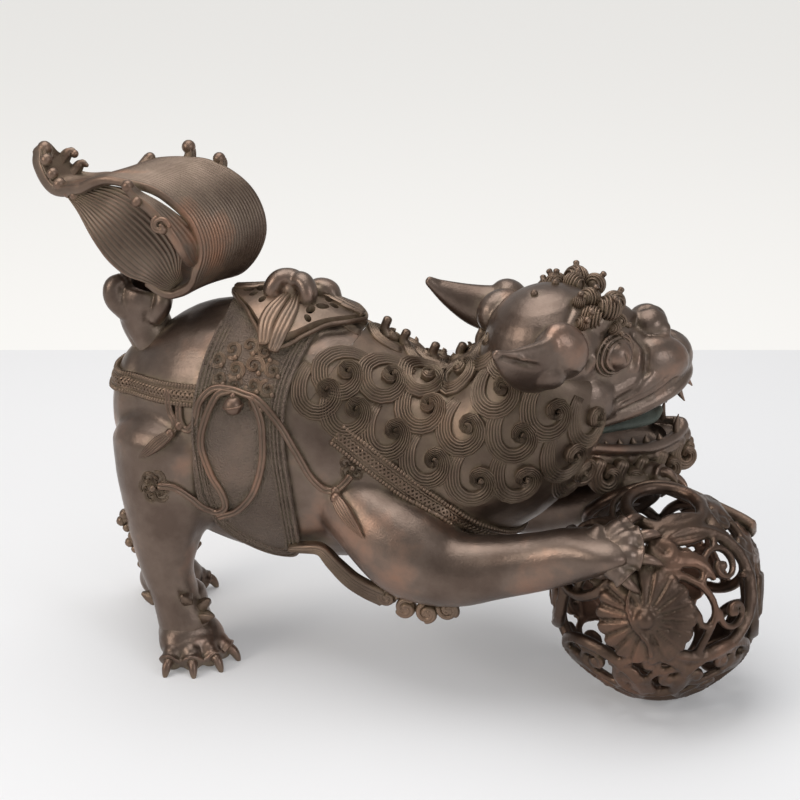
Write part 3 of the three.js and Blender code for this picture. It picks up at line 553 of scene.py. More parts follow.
limbs = {
    "right_hind_leg": leg_stations(-1),
    "left_hind_leg": leg_stations(1),
    "right_fore_leg": RIGHT_FORE,
    "left_fore_leg": LEFT_FORE,
}
torso = body_cast
for stations in limbs.values():
    torso = carved(torso, leg_cutter(stations, LEG_SEAM - 1.5 * SEAM_GAP), "DIFFERENCE")
neck_shell = carved(torso, mane_cutter(SEAM_GAP), "INTERSECT")
torso = carved(torso, mane_cutter(-SEAM_GAP), "DIFFERENCE")
cavity = bmesh.new()
sweep(cavity, grown(TRUNK[1:6], -WALL), oval(32), rows=30, domes=(0.6, 0.5))
torso = carved(torso, cavity, "DIFFERENCE")
torso = carved(torso, back_hole(), "DIFFERENCE")
bowl_piece = cast(opened(torso), "bowl_casting", "statue", "dark_bronze", smooth_bronze, "torso_shell",
                  sharp=50)
shade_as_one(bowl_piece, body_cast)
# Dust-laden chased bronze: warm brown crests, ochre dust in the cuts
mane_bronze = bronze("chased_dusty_bronze", "#5c4e44", "#7c6b5e", "#94755f", "#8f8066", 0.4, 0.5, 0.6)
neck_piece = cast(opened(neck_shell), "neck_casting", "statue", "dusted_bronze", mane_bronze, "mane_shell")
shade_as_one(neck_piece, body_cast)

# ---------------------------------------------------------------- legs and paws
# Each leg is a solid casting let into the body along a seam and held by one rivet. The paws
# are broad, with four knuckled toes, a scalloped cuff at each toe and a hooked claw.

PAW_VOXEL = 0.9
SOLE_LIFT = 0.02
HIND_TURN = {-1: 0.9, 1: 1.4}


def toe(bm, claws, root, knuckle, tip, size, down):
    """One toe: a knuckled finger with a cuff, and a claw that hooks downwards."""
    root, knuckle, tip, down = (Vector(v) for v in (root, knuckle, tip, down))
    along = (tip - knuckle).normalized()
    side = along.cross(down).normalized()
    sweep(bm, [
        (*root, size * 0.9, size * 0.9), (*knuckle, size * 1.12, size * 1.15),
        (*(knuckle.lerp(tip, 0.4)), size * 0.92, size * 0.92),
        (*(knuckle.lerp(tip, 0.75)), size * 1.2, size * 1.1),
    ], oval(14), rows=14, across=side, domes=(0.3, 0.15))
    base = knuckle.lerp(tip, 0.8)
    reach = min((tip - knuckle).length, size * 2)
    sweep(claws, [
        (*(base - down * size * 0.25), size * 0.56, size * 0.56),
        (*(base + along * reach * 0.4 - down * size * 0.3), size * 0.46, size * 0.5),
        (*(base + along * reach * 0.7 + down * size * 0.1), size * 0.32, size * 0.34),
        (*(base + along * reach * 0.85 + down * size * 0.6), size * 0.08, size * 0.08),
    ], oval(10), rows=12, across=side, domes=(0.3, 0.6))


def hind_paw(side):
    """The broad hind paw, its sole flat on the ground."""
    shape, claws = bmesh.new(), bmesh.new()
    turn = HIND_TURN[side]
    ahead = Vector((math.cos(turn), side * math.sin(turn), 0))
    heel = Vector((-109 - drawn_back(side, 1), side * 34, 0)) - 5 * ahead
    across = (-ahead.y, ahead.x, 0)
    sweep(shape, [
        (*(heel - ahead * 1 + Vector((0, 0, 12))), 15, 13), (*(heel + ahead * 9 + Vector((0, 0, 12))), 18,
                                                             13.5),
        (*(heel + ahead * 16 + Vector((0, 0, 9))), 17, 10),
    ], oval(24), rows=14, across=across)
    sweep(shape, [(*(heel + Vector((0, 0, 34))), 12.5, 12.5), (*(heel + ahead * 2 + Vector((0, 0, 14))), 14,
                                                               14)],
          oval(20), rows=8, across=across)
    for spread in (-0.95, -0.32, 0.32, 0.95):
        angle = math.atan2(ahead.y, ahead.x) + spread * 0.85
        out = Vector((math.cos(angle), math.sin(angle), 0))
        root = heel + 10 * out + 4 * ahead + Vector((0, 0, 8))
        knuckle, tip = root + out * 7 + Vector((0, 0, 1)), root + out * 14.5 - Vector((0, 0, 3.5))
        toe(shape, claws, root, knuckle, tip, 5.6, (0, 0, -1))
        ball(shape, root + out * 9 - Vector((0, 0, 4.6)), (5, 5, 3.4))
    return shape, claws


def fore_paw(wrist, palm, toes, across, down):
    """A forepaw laid on the ball, with its toes spread over the openwork."""
    shape, claws = bmesh.new(), bmesh.new()
    wrist, palm = Vector(wrist), Vector(palm)
    sweep(shape, [(*wrist.lerp(palm, 0.6), 12, 9), (*palm, 14, 8.5)], oval(24), rows=10, across=across)
    for end in toes:
        end, down = Vector(end), Vector(down)
        toe(shape, claws, palm.lerp(end, 0.05) - down * 0.5, palm.lerp(end, 0.6) - down * 2.4, end, 5.5, down)
    return shape, claws


paws = {
    "right_hind_leg": hind_paw(-1),
    "left_hind_leg": hind_paw(1),
    "right_fore_leg": fore_paw(
        (98, -56, 88), (113, -60, 93), [(126, -48, 105), (134, -55, 101), (136, -63, 92), (128, -69, 82)],
        (0.5, -0.45, -0.74), (0.45, 0.66, -0.6)),
    "left_fore_leg": fore_paw(
        (104, 20, 92), (119, 20, 100), [(138, 14, 106), (142, 24, 99), (139, 33, 90), (125, 36, 85)],
        (0.3, 0.75, -0.58), (0.3, -0.62, -0.72)),
}


for name, stations in limbs.items():
    leg = opened(carved(body_cast, leg_cutter(stations), "INTERSECT"))
    shape, claws = paws[name]
    leg.from_mesh(fused(shape, PAW_VOXEL, 4))
    add_shape(leg, claws)
    if "hind" in name:
        cut(leg, (0, 0, 1), SOLE_LIFT)
    piece = cast(leg, name + "_casting", "statue", "dark_bronze", smooth_bronze, name)
    shade_as_one(piece, body_cast)

# ---------------------------------------------------------------- rivets
# Bronze rivets through the seams hold the legs to the body and the forepaws to the ball, and a pin
# holds the stump of the tail. They are filed flush and patinated with the castings around them.

RIVETS = [hand + limb + "_rivet" for limb in ("_hind_leg", "_fore_leg", "_paw") for hand in ("right", "left")]
for name in RIVETS + ["tail_pin"]:
    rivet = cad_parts[name].data
    rivet.materials.clear()
    rivet.materials.append(smooth_bronze)

# ---------------------------------------------------------------- mane
# The mane is chased into rows of overlapping locks. Each lock is a band of six fine ridges that
# sweeps down and round into a raised snail, with dust settled between the locks.

LOCK_RIDGES = 6
LOCK_SIZE = 1.02
# A lock's path on the skin: x, y, half width and rise
LOCK_PATH = [
    (-5, 15, 3.4, 0.6), (-8.2, 9, 4.0, 1.8), (-9.3, 2, 4.3, 2.5), (-7.8, -5, 4.4, 2.9),
    (-2.5, -9.6, 4.4, 3.2), (4.2, -9.4, 4.2, 3.4), (9.2, -4.8, 3.7, 3.6), (10.1, 1.3, 3.1, 3.9),
    (6.6, 5.6, 2.6, 4.3), (2.2, 4.2, 2.2, 4.8), (1.6, 0.2, 1.9, 5.3), (4.6, -1.2, 1.5, 5.8),
    (6.1, 1.0, 1.2, 6.3), (4.6, 2.2, 0.9, 6.9),
]
SWEPT_LOCK_START = [(17, 11, 3.0, 1.0), (8, 13.2, 3.6, 1.8), (-1.5, 11.5, 4.0, 2.4), (-7.6, 6.5, 4.2, 2.6)]
# Locks on a flank: x, z, and whether the lock starts with a long sweep
ON_FLANK = [
    (-25, 166, 1), (-4, 163, 1), (14, 161, 1), (32, 163, 1), (47, 177, 1), (-19, 149, 0), (17, 150, 0),
    (55, 162, 0), (1, 139, 0), (39, 143, 0), (65, 142, 0), (81, 153, 0), (22, 126, 0), (45, 118, 0),
    (67, 119, 0), (90, 128, 0),
]


def ridged(count, low=0.48, under=-0.9):
    """An outline with a row of rounded ridges on top and a flat underside."""
    crest = []
    for k in range(4 * count + 1):
        a = -1 + k / (2 * count)
        crown = math.sqrt(max(0, 1 - (0.86 * a) ** 2))
        crest.append((a, crown * (1 if k % 4 == 2 else low if k % 4 == 0 else low + 0.68 * (1 - low))))
    return np.array(crest[::-1] + [(-0.92, under), (0, under), (0.92, under)])


def surface_frame(tree, at):
    """The nearest place on a surface, with its outward direction, one towards the head and one up."""
    spot, normal, _, _ = tree.find_nearest(Vector(at))
    ahead = (Vector((1, 0, 0)) - normal * normal.x).normalized()
    upward = normal.cross(ahead).normalized()
    if upward.z < 0:
        upward = -upward
    return spot, normal, ahead, upward


def lay(bm, tree, at, path, outline, rows=26, size=1.0, turn=0.0, mirrored=False, lift=0.0):
    """Lays a band along a drawn path (x, y, half width, rise) on the surface around a place."""
    spot, _, ahead, upward = surface_frame(tree, at)
    track = spline(path, rows)
    if mirrored:
        track[:, 0] *= -1
    cos, sin = math.cos(math.radians(turn)), math.sin(math.radians(turn))
    track[:, :2] = size * track[:, :2] @ np.array([[cos, sin], [-sin, cos]])
    step = unit(np.gradient(track[:, :2], axis=0))
    rings = []
    ends = [(0, 0.0), (0, 0.7)], [(rows - 1, 0.7), (rows - 1, 0.0)]
    for i, shrink in ends[0] + [(i, 1.0) for i in range(rows)] + ends[1]:
        ring = []
        for a, b in outline:
            flat = track[i, :2] + np.array([-step[i, 1], step[i, 0]]) * a * track[i, 2] * size * shrink
            found, out, _, _ = tree.find_nearest(spot + ahead * flat[0] + upward * flat[1])
            rise = (b * track[i, 3] * shrink if b > 0 else b) * size
            ring.append(found + out * (lift + (rise if shrink else 0.4 * track[i, 3])))
        if not shrink:
            ring = [sum(ring, Vector()) / len(ring)] * len(ring)
        rings.append(ring)
    grid_of(bm, np.array(rings))


def flank(tree, x, z, side):
    """The place on one flank at a distance along the body and a height."""
    hit = tree.ray_cast(Vector((x, side * 200, z)), Vector((0, -side, 0)))[0]
    return hit if hit else tree.find_nearest(Vector((x, side * 45, z)))[0]


locks = bmesh.new()
swept = SWEPT_LOCK_START + LOCK_PATH[2:]
for side in (-1, 1):
    for x, z, is_swept in ON_FLANK:
        path = swept if is_swept else LOCK_PATH
        lay(locks, body_tree, flank(body_tree, x, z, side), path, ridged(LOCK_RIDGES), size=LOCK_SIZE)
cast(locks, "mane_locks", "statue", "dusted_bronze", mane_bronze)

# ---------------------------------------------------------------- saddle cloth
# The cloth is a thin bronze layer that lies over the back and hangs down both flanks. Its field
# is matted like leather, and its edge carries four lines of piping.

# Matted bronze: fine punch marks all over, so it looks like grained leather and hardly shines
matted_bronze = bronze("matted_grained_bronze", "#665950", "#83756a", "#927666", "#8e826b", 0.5, 0.7, 0.4,
                       grain=2.2)
CLOTH_LOW, CLOTH_HIGH = 0.35, 2.6
# The edge of the flap in x and z, from the back edge round its foot to the front edge
FLAP = [
    (-87, 188), (-93, 170), (-96.5, 151), (-97.5, 134), (-97, 112), (-95.5, 98), (-90, 84), (-80, 73),
    (-66, 64.5), (-57, 62), (-50, 63.5), (-46, 70), (-44.5, 84), (-45.5, 108), (-48, 129), (-49, 148),
    (-47, 162), (-41, 178), (-37, 186),
]


def smooth_line(points, count):
    """Points evenly spread along a smooth line through a few drawn ones."""
    line = spline(points, 400)
    run = np.concatenate([[0], np.cumsum(np.linalg.norm(np.diff(line, axis=0), axis=1))])
    wanted = np.linspace(0, run[-1], count)
    return np.column_stack([np.interp(wanted, run, line[:, k]) for k in range(line.shape[1])])


def inflated(mesh, by):
    """A copy of a mesh with its surface moved outwards."""
    made = mesh.copy()
    places, normals = corners(made)
    made.vertices.foreach_set("co", (places + normals * by).ravel())
    made.update()
    return made


def prism(outline, along, low, high):
    """A block with a flat outline, pushed out between two places along one axis (0, 1 or 2)."""
    made = bmesh.new()
    loop = [made.verts.new((*spot[:along], low, *spot[along:])) for spot in outline]
    face = made.faces.new(loop)
    for vert in bmesh.ops.extrude_face_region(made, geom=[face])["geom"]:
        if isinstance(vert, bmesh.types.BMVert):
            vert.co[along] = high
    bmesh.ops.triangulate(made, faces=made.faces)
    return made


def layer_on(mesh, low, high, cutter):
    """A layer over a form between two heights, kept inside a cutting shape."""
    made = carved(inflated(mesh, high), cutter, "INTERSECT")
    return carved(made, opened(inflated(mesh, low)), "DIFFERENCE")


form_wax = bmesh.new()
sweep(form_wax, TRUNK, oval(32), rows=40, domes=(0.6, 0.5))
for side in (-1, 1):
    sweep(form_wax, leg_stations(side)[:3], oval(24), rows=16)
    haunch(form_wax, side)
sweep(form_wax, RIGHT_FORE[:3], oval(24), rows=20)
sweep(form_wax, LEFT_FORE[:2], oval(24), rows=16)
harness_form = fused(form_wax, BODY_VOXEL, BODY_SMOOTHING)
harness_tree = BVHTree.FromBMesh(opened(harness_form))
flap_line = smooth_line(FLAP, 90)
whole_cloth = np.vstack([[(-86, 215)], flap_line, [(-37, 215)]])
cloth_mesh = layer_on(harness_form, CLOTH_LOW, CLOTH_HIGH, prism(whole_cloth, 1, -120, 120))
under_gap = bmesh.new()
bmesh.ops.create_cube(under_gap, size=1)
bmesh.ops.scale(under_gap, vec=(140, 30, 130), verts=under_gap.verts)
bmesh.ops.translate(under_gap, vec=(-60, 0, 40), verts=under_gap.verts)
cloth_mesh = carved(cloth_mesh, under_gap, "DIFFERENCE")
cloth = opened(carved(cloth_mesh, back_hole(), "DIFFERENCE"))


def evened(normals, passes):
    """Directions along a line, smoothed so that a cord on it doesn't twist."""
    normals = np.array(normals)
    for _ in range(passes):
        normals[1:-1] = (normals[:-2] + 2 * normals[1:-1] + normals[2:]) / 4
    return unit(normals)


def follow(tree, line, side, rise):
    """A drawn line of x and z on one flank as places, directions out of the skin, and heights."""
    places, normals = [], []
    for x, z, *_ in line:
        spot = flank(tree, x, z, side)
        normal = tree.find_nearest(spot)[1]
        places.append(spot)
        normals.append(normal)
    normals = evened(normals, 2)
    rise = np.array([p[2] if len(p) > 2 else 0 for p in line]) + rise
    return np.array(places) + normals * rise[:, None], normals


FIRST_TIP = [(0, 0.0, -0.7), (0, 0.7, -0.5)]
LAST_TIP = [(-1, 0.7, 0.5), (-1, 0.0, 0.7)]


def strand(bm, places, normals, outline, wide, tall, taper=(1.0, 1.0)):
    """A cord or band through places, standing square to one direction or to one for each place."""
    places = np.array(places)
    normals = np.broadcast_to(np.array(normals, float), places.shape)
    count = len(places)
    wide = np.broadcast_to(wide, count).astype(float)
    tall = np.broadcast_to(tall, count).astype(float)
    tangent = unit(np.gradient(places, axis=0))
    side = unit(np.cross(tangent, normals))
    upward = np.cross(side, tangent)
    rings = []
    for i, shrink, out in FIRST_TIP + [(i, 1.0, 0.0) for i in range(count)] + LAST_TIP:
        share = (i % count) / (count - 1)
        scale = shrink * (taper[0] + (taper[1] - taper[0]) * share)
        centre = places[i] + tangent[i] * out * min(wide[i], tall[i])
        sideways = side[i] * outline[:, :1] * wide[i] * scale
        rings.append(centre + sideways + upward[i] * outline[:, 1:2] * tall[i] * scale)
    grid_of(bm, np.array(rings))


def inset_line(line, by):
    """A drawn line of x and z moved sideways, to its left as it is walked."""
    step = unit(np.gradient(line, axis=0))
    return line + np.column_stack([-step[:, 1], step[:, 0]]) * by


piping = bmesh.new()
for side in (-1, 1):
    for inset, size in ((0.7, 1.0), (3.2, 0.75), (5.0, 0.75), (6.8, 0.6)):
        line = smooth_line(inset_line(flap_line, inset), 150)
        places, normals = follow(harness_tree, line[2:-2], side, CLOTH_HIGH + 0.1)
        strand(piping, places, normals, oval(6), size, size * 0.9)
add_shape(cloth, piping)
cast(cloth, "saddle_cloth_layer", "statue", "dark_bronze", matted_bronze, "saddle_cloth", sharp=50)

# ---------------------------------------------------------------- breast and crupper straps
# Two flat straps run from the cloth, one round the chest and one round the rump. Each has a
# corded edge above and below and a plaited middle, chased in the wax before casting.

CRUPPER_NORMAL = Vector((-0.06, 0, 0.998))
STRAP_RISE = 1.6


def ring_on(tree, normal, distance, centre, forward, angles):
    """Places round a form in a plane, seen from a point inside, from the right flank forwards."""
    normal, forward = Vector(normal).normalized(), Vector(forward).normalized()
    centre = Vector(centre)
    centre += normal * (distance - normal.dot(centre))
    places, normals = [], []
    for angle in angles:
        out = Vector((0, -1, 0)) * math.cos(angle) + forward * math.sin(angle)
        spot, face_normal, _, _ = tree.ray_cast(centre + out * 200, -out)
        places.append(spot)
        normals.append(face_normal)
    return np.array(places), np.array(normals)


def even_ring(places, normals, spacing):
    """The same run of places, evenly spaced."""
    both = np.hstack([places, normals])
    run = np.concatenate([[0], np.cumsum(np.linalg.norm(np.diff(places, axis=0), axis=1))])
    wanted = np.linspace(0, run[-1], max(4, int(run[-1] / spacing)))
    both = np.column_stack([np.interp(wanted, run, both[:, k]) for k in range(6)])
    return both[:, :3], both[:, 3:]


def beaded(count, per_bead, low=0.62):
    """Heights that swell and pinch along a cord, as a tight twist does."""
    return low + (1 - low) * np.abs(np.sin(np.arange(count) * math.pi / per_bead)) ** 0.7


def strap(name, node, level, half, normal, centre, forward, start, end):
    """A strap: a flat band with corded edges and three strands plaited along its middle."""
    angles = np.linspace(math.radians(start), math.radians(end), 240)
    places, normals = even_ring(*ring_on(harness_tree, normal, level, centre, forward, angles), 0.6)
    normals = evened(normals, 6)
    tangent = np.gradient(places, axis=0)
    across = unit(np.cross(normals, tangent))

    def offset(by, rise):
        """The line of the strap moved across it by a distance, and lifted off the form."""
        spots = [harness_tree.find_nearest(Vector(p))[0] for p in places + across * np.reshape(by, (-1, 1))]
        return np.array(spots) + normals * np.reshape(rise, (-1, 1))

    band = bmesh.new()
    flat = np.array([(-1, -1), (0, -1), (1, -1), (1, 1), (0.5, 1.15), (0, 1.2), (-0.5, 1.15), (-1, 1)])
    strand(band, offset(0, 0.7)[::3], normals[::3], flat, half - 0.4, 0.95)
    for by in (-half + 0.9, half - 0.9):
        swell = beaded(len(places), 3)
        strand(band, offset(by, STRAP_RISE), normals, oval(6), 1.6 * swell, 1.7 * swell)
    for by in (-half + 2.9, half - 2.9):
        strand(band, offset(by, STRAP_RISE)[::2], normals[::2], oval(6), 0.55, 0.6)
    for phase in (0, 2 * math.pi / 3, 4 * math.pi / 3):
        turn = np.arange(len(places)) * 0.5 + phase
        plait = offset(1.9 * np.sin(turn), STRAP_RISE + 0.25 + 0.35 * np.cos(2 * turn))
        strand(band, plait, normals, oval(6), 0.85, 0.9)
    cast(band, name, "statue", "dusted_bronze", mane_bronze, node, sharp=60)


strap("breast_strap_band", "breast_strap", 99, 6, STRAP_NORMAL, (19, 0, 109), (0.81, 0, -0.587), -48, 228)
strap("crupper_strap_band", "crupper_strap", 157.5, 5.5, CRUPPER_NORMAL, (-115, 0, 151), (-0.998, 0, -0.06),
      -24, 204)

# ---------------------------------------------------------------- harness cords, bells and tassels
# Doubled cords are cast in relief over the flanks. One runs from strap to strap under the scrolled
# mount and ends in tassels, two hang over the flap as a loop, and a round bell hangs at their top.

# Runs of cord on a flank: x, z and the height over the skin
CORD_RUNS = [
    [(-106, 150, 0), (-105, 139, 0.6), (-101, 134.5, 0.6), (-96, 140, 1.2), (-93, 150, 2.6),
     (-86, 156.5, 3.2), (-77, 157, 3.6), (-70, 155.5, 3.6), (-62, 153, 3.2), (-52, 144, 2.8),
     (-43, 130, 1.2), (-35, 116, 0.8), (-28, 109.5, 0.8), (-21, 110, 0.8), (-15, 118, 2.6)],
    [(-76, 156.5, 3.6), (-84, 153.4, 3.4), (-90, 141, 2.8), (-92, 129, 2.8), (-88, 115, 2.8),
     (-82, 103, 2.8), (-81, 96, 3.0), (-86, 91, 2.8), (-94, 92.5, 2.4), (-100, 99, 0.6), (-107, 104.5, 0.6),
     (-115, 105.5, 0.8)],
    [(-66, 154.5, 3.4), (-62, 148, 2.8), (-59.5, 139, 2.8), (-59.5, 123, 2.8), (-65, 106, 2.8),
     (-75, 94, 2.9), (-86, 88.5, 3.4)],
]
TWO_PLY = np.array([(-1, 0.0), (-0.8, 0.75), (-0.5, 1.0), (-0.2, 0.75), (0, 0.3), (0.2, 0.75), (0.5, 1.0),
                    (0.8, 0.75), (1, 0.0), (0.9, -0.9), (0, -1.0), (-0.9, -0.9)])[::-1]
# Scrolls of the mount: x, z, size and turn in degrees
MOUNT_SCROLLS = [
    (-86, 170, 0.5, 20), (-79, 174, 0.5, 80), (-70, 176, 0.48, 120), (-61, 174, 0.5, 200),
    (-56, 167, 0.5, 260), (-84, 162, 0.45, 0), (-76, 166, 0.55, 60), (-66, 168, 0.55, 170),
    (-58, 159, 0.5, 300), (-66, 160, 0.5, 30), (-75, 159, 0.45, 210), (-63, 152, 0.45, 330),
]
FULL_SNAIL = [(-7, 3, 1.6, 1), (-8, -3, 2.2, 1.6), (-3, -8, 2.4, 2), (4, -7, 2.2, 2.4), (7, -1, 2, 2.8),
              (3, 4, 1.8, 3.2), (-2, 2, 1.5, 3.6), (-1, -2, 1.2, 4), (1, -1, 1, 4.4)]


def tassel(bm, tree, side, at, tip, size):
    """A tassel: a bound knot, then a skirt of threads drawn to a point."""
    line = smooth_line([(*at, 2.2), ((at[0] + tip[0]) / 2, (at[1] + tip[1]) / 2, 1.9), (*tip, 1.4)], 22)
    places, normals = follow(tree, line, side, 0)
    share = np.linspace(0, 1, len(line))
    wide = size * (0.75 + 0.65 * np.sin(share ** 0.8 * math.pi) - 0.55 * share)
    strand(bm, places, normals, ridged(5, 0.74, -0.8), wide, wide * 0.8)
    for along, scale in ((0, 1.0), (3, 0.72)):
        ball(bm, places[along], size * scale, sides=12)


def rosette(bm, tree, side, at, petals, reach, size, ridges=3):
    """A ring of small snails round a bead."""
    centre = flank(tree, *at, side)
    _, normal, ahead, upward = surface_frame(tree, centre)
    for k in range(petals):
        angle = 2 * math.pi * k / petals + 0.3
        spot = centre + ahead * reach * math.cos(angle) + upward * reach * math.sin(angle)
        lay(bm, tree, spot, FULL_SNAIL, ridged(ridges), rows=16, size=size, turn=math.degrees(angle),
            mirrored=k % 2)
    ball(bm, centre + normal * 2.2, reach * 0.42, sides=12)


# Handled bronze: cords, bells and finials are rubbed to a warm brown along their backs
rubbed_bronze = bronze("rubbed_copper_bronze", "#5f4f45", "#7f6b5e", "#98705b", "#897a62", 0.37, 0.7, 0.75)
for side, hand in ((-1, "right"), (1, "left")):
    cords = bmesh.new()
    for run, rows in zip(CORD_RUNS, (120, 90, 70)):
        places, normals = follow(harness_tree, smooth_line(run, rows), side, 0.8)
        strand(cords, places, normals, TWO_PLY, 2.0, 1.15)
    for x, z in ((-105, 136), (-22, 109), (-85, 90)):
        spot = flank(harness_tree, x, z, side)
        ball(cords, spot + surface_frame(harness_tree, spot)[1] * 1.8, (2.6, 2.2, 2.6), sides=12)
    strands = smooth_line([(-112, 152.5, 1.5), (-110.5, 143, 1), (-107, 137, 1.4), (-110, 130, 1.4),
                           (-117, 124, 1.2)], 40)
    places, normals = follow(harness_tree, strands, side, 0.9)
    strand(cords, places, normals, TWO_PLY, 1.9, 1.1)
    tassel(cords, harness_tree, side, (-110, 131), (-126, 119), 2.8)
    cast(cords, hand + "_harness_cords", "statue", "rubbed_bronze", rubbed_bronze, hand + "_harness_cord")

    front = bmesh.new()
    tassel(front, harness_tree, side, (-21, 106), (-5, 91), 3.1)
    cast(front, hand + "_breast_tassel", "statue", "rubbed_bronze", rubbed_bronze, hand + "_front_tassel")

    mount = bmesh.new()
    for x, z, size, turn in MOUNT_SCROLLS:
        lay(mount, harness_tree, flank(harness_tree, x, z, side), FULL_SNAIL, ridged(3), rows=16, size=size,
            turn=turn, lift=2.4)
        spot = flank(harness_tree, x + 2.5, z - 3, side)
        ball(mount, spot + surface_frame(harness_tree, spot)[1] * 3.2, 1.5, sides=8)
    cast(mount, hand + "_saddle_scrollwork", "statue", "dusted_bronze", mane_bronze,
         hand + "_saddle_ornament")

    bell = bmesh.new()
    hung = flank(harness_tree, -74, 150, side)
    out = surface_frame(harness_tree, hung)[1]
    middle = hung + out * 6.2
    ball(bell, middle, (4.9, 4.7, 4.9), sides=20)
    ring = np.linspace(0, 2 * math.pi, 33)[:-1]
    hoop = [middle + Vector((5.0 * math.cos(a), 4.8 * math.sin(a), 0.75 * math.cos(a))) for a in ring]
    strand(bell, hoop + hoop[:1], (0.0, 0.0, 1.0), oval(6), 0.6, 0.6)
    ball(bell, middle + Vector((0, 0, 5.4)), 1.6, sides=10)
    cast(bell, hand + "_round_bell", "statue", "rubbed_bronze", rubbed_bronze, hand + "_bell")

    knots = bmesh.new()
    rosette(knots, harness_tree, side, (-118, 104), 6, 4.6, 0.5)
    rosette(knots, harness_tree, side, (-14, 122), 5, 3.8, 0.42)
    cast(knots, hand + "_strap_knots", "statue", "dusted_bronze", mane_bronze)

# ---------------------------------------------------------------- pierced lid and its knot
# The lid of the burner is a cloth-shaped plate over the hole in the back, pierced so that the
# smoke gets out. It is lifted by a knotted bow, and a lip under it drops into the hole.

LID_LOW, LID_HIGH = 3.2, 6.4
LID_CORNERS = [(-88, 1), (-57, -33), (-19.5, -2), (-53, 33)]
# Piercings of the lid: x, y and half width
LID_HOLES = [
    (-79, -4, 2.0), (-75, -9, 1.8), (-73, -3, 1.9), (-78, 4, 1.7), (-73, 4, 2.2), (-69, -14, 1.8),
    (-67, -8, 1.6), (-72, 11, 1.9), (-66, 17, 1.8), (-67, 9, 1.7), (-33, -7, 1.9), (-38, -11, 2.4),
    (-43, -16, 2.2), (-37, -3, 1.6), (-31, 1, 1.7), (-36, 6, 2.0), (-42, 11, 1.9), (-46, 17, 1.9),
    (-60, 22, 1.8), (-54, 24, 1.7), (-43, -22, 1.7), (-28, -3, 1.2),
]
LID_BORE = 3.4
LIP_INSET = 4.4


lid_line = []
for start, end in zip(LID_CORNERS, LID_CORNERS[1:] + LID_CORNERS[:1]):
    start, end = np.array(start, float), np.array(end, float)
    middle = np.array([-54.5, 0.0])
    for share in np.linspace(0, 1, 14)[:-1]:
        place = start + (end - start) * share
        swell = 1 + 0.17 * math.sin(math.pi * share) + 0.03 * math.sin(3 * math.pi * share)
        lid_line.append(middle + (place - middle) * swell)
lid_mesh = layer_on(harness_form, LID_LOW, LID_HIGH, prism(lid_line, 2, 120, 240))
for i, (x, y, radius) in enumerate(LID_HOLES):
    lid_mesh = carved(lid_mesh, round_cutter(x, y, radius, 1.45, 0.9 * i), "DIFFERENCE")
lid = opened(carved(lid_mesh, round_cutter(OPENING_X, 0, LID_BORE), "DIFFERENCE"))


def over(tree, x, y, rise=0):
    """The place a height above a form, straight over a point of its plan."""
    spot = tree.ray_cast(Vector((x, y, 260)), Vector((0, 0, -1)))[0]
    return spot + tree.find_nearest(spot)[1] * rise


rim_line = smooth_line(lid_line + lid_line[:1], 170)
rim_line = rim_line * 0.995 + np.array([-0.27, 0])
rim_places = [over(harness_tree, x, y, (LID_LOW + LID_HIGH) / 2) for x, y in rim_line]
rim_normals = [harness_tree.find_nearest(p)[1] for p in rim_places]
strand(lid, rim_places, rim_normals, oval(8), 1.1, 1.7)
RIBS = [
    [(-57, -6), (-60, -14), (-63, -24), (-62, -32)], [(-53, -7), (-53, -16), (-55, -26), (-57, -34)],
    [(-64, 3), (-72, 2), (-80, 0), (-86, 1)], [(-46, 1), (-38, 1), (-30, -1), (-22, -2)],
    [(-55, 7), (-55, 16), (-54, 25), (-53, 32)],
]
for path in RIBS:
    track = smooth_line(path, 34)
    places = [over(harness_tree, x, y, LID_HIGH + 0.4) for x, y in track]
    normals = [harness_tree.find_nearest(p)[1] for p in places]
    share = np.linspace(0, 1, len(track))
    strand(lid, places, normals, ridged(3, 0.7, -1.2), 1.6 + 2.6 * np.sin(share * 2.6), 1.7)
lip = bmesh.new()
turns = np.linspace(0, 2 * math.pi, 65)
ring = [(OPENING_X + (OPENING_LONG - LIP_INSET) * math.cos(t), (OPENING_WIDE - LIP_INSET) * math.sin(t), 183)
        for t in turns]
strand(lip, ring, (0.0, 0.0, 1.0), np.array([(-1, -1), (1, -1), (1, 1), (-1, 1)]), 1.0, 7.0)
add_shape(lid, lip)
cast(lid, "pierced_lid", "lid", "dusted_bronze", mane_bronze, "saddle_lid", sharp=45)

KNOT_GROWTH = 1.14
knot = bmesh.new()
sweep(knot, [(-62, -7, 194, 4, 3.5), (-64, -6, 199, 5.5, 4.5), (-61, -5, 204, 5, 4.2),
             (-55, -3, 204, 4.5, 4), (-52, -1, 199, 4, 3.6), (-53, 0, 195, 3.6, 3.2)], oval(20), rows=30)
sweep(knot, [(-50, -8, 193, 4, 3.2), (-47, -8, 198, 5.2, 4.2), (-50, -6, 203.5, 4.8, 4.2),
             (-56, -3, 202, 4.4, 4), (-58, 1, 197, 3.8, 3.4)], oval(20), rows=30)
sweep(knot, [(-52, 2, 194, 4.5, 3.2), (-46, 4, 198, 6, 4.2), (-40, 4, 197.5, 5.4, 3.8), (-37, 3, 193, 4, 3)],
      oval(20), rows=24)
sweep(knot, [(-58, 3, 194, 4.5, 3.2), (-62, 6, 197, 5.4, 3.8), (-66, 5, 194, 3.6, 2.8)], oval(20), rows=20)
ball(knot, (-55, -2, 195), (9, 8, 4.5), sides=20)
ball(knot, (-56, -5.5, 199), (3.6, 3.4, 4.6), (0, 20, 0), sides=16)
sweep(knot, [(OPENING_X, 0, 186.5, 2.9, 2.9), (OPENING_X, 0, 196, 2.9, 2.9)], oval(16), rows=6,
      domes=(0.1, 0.1))
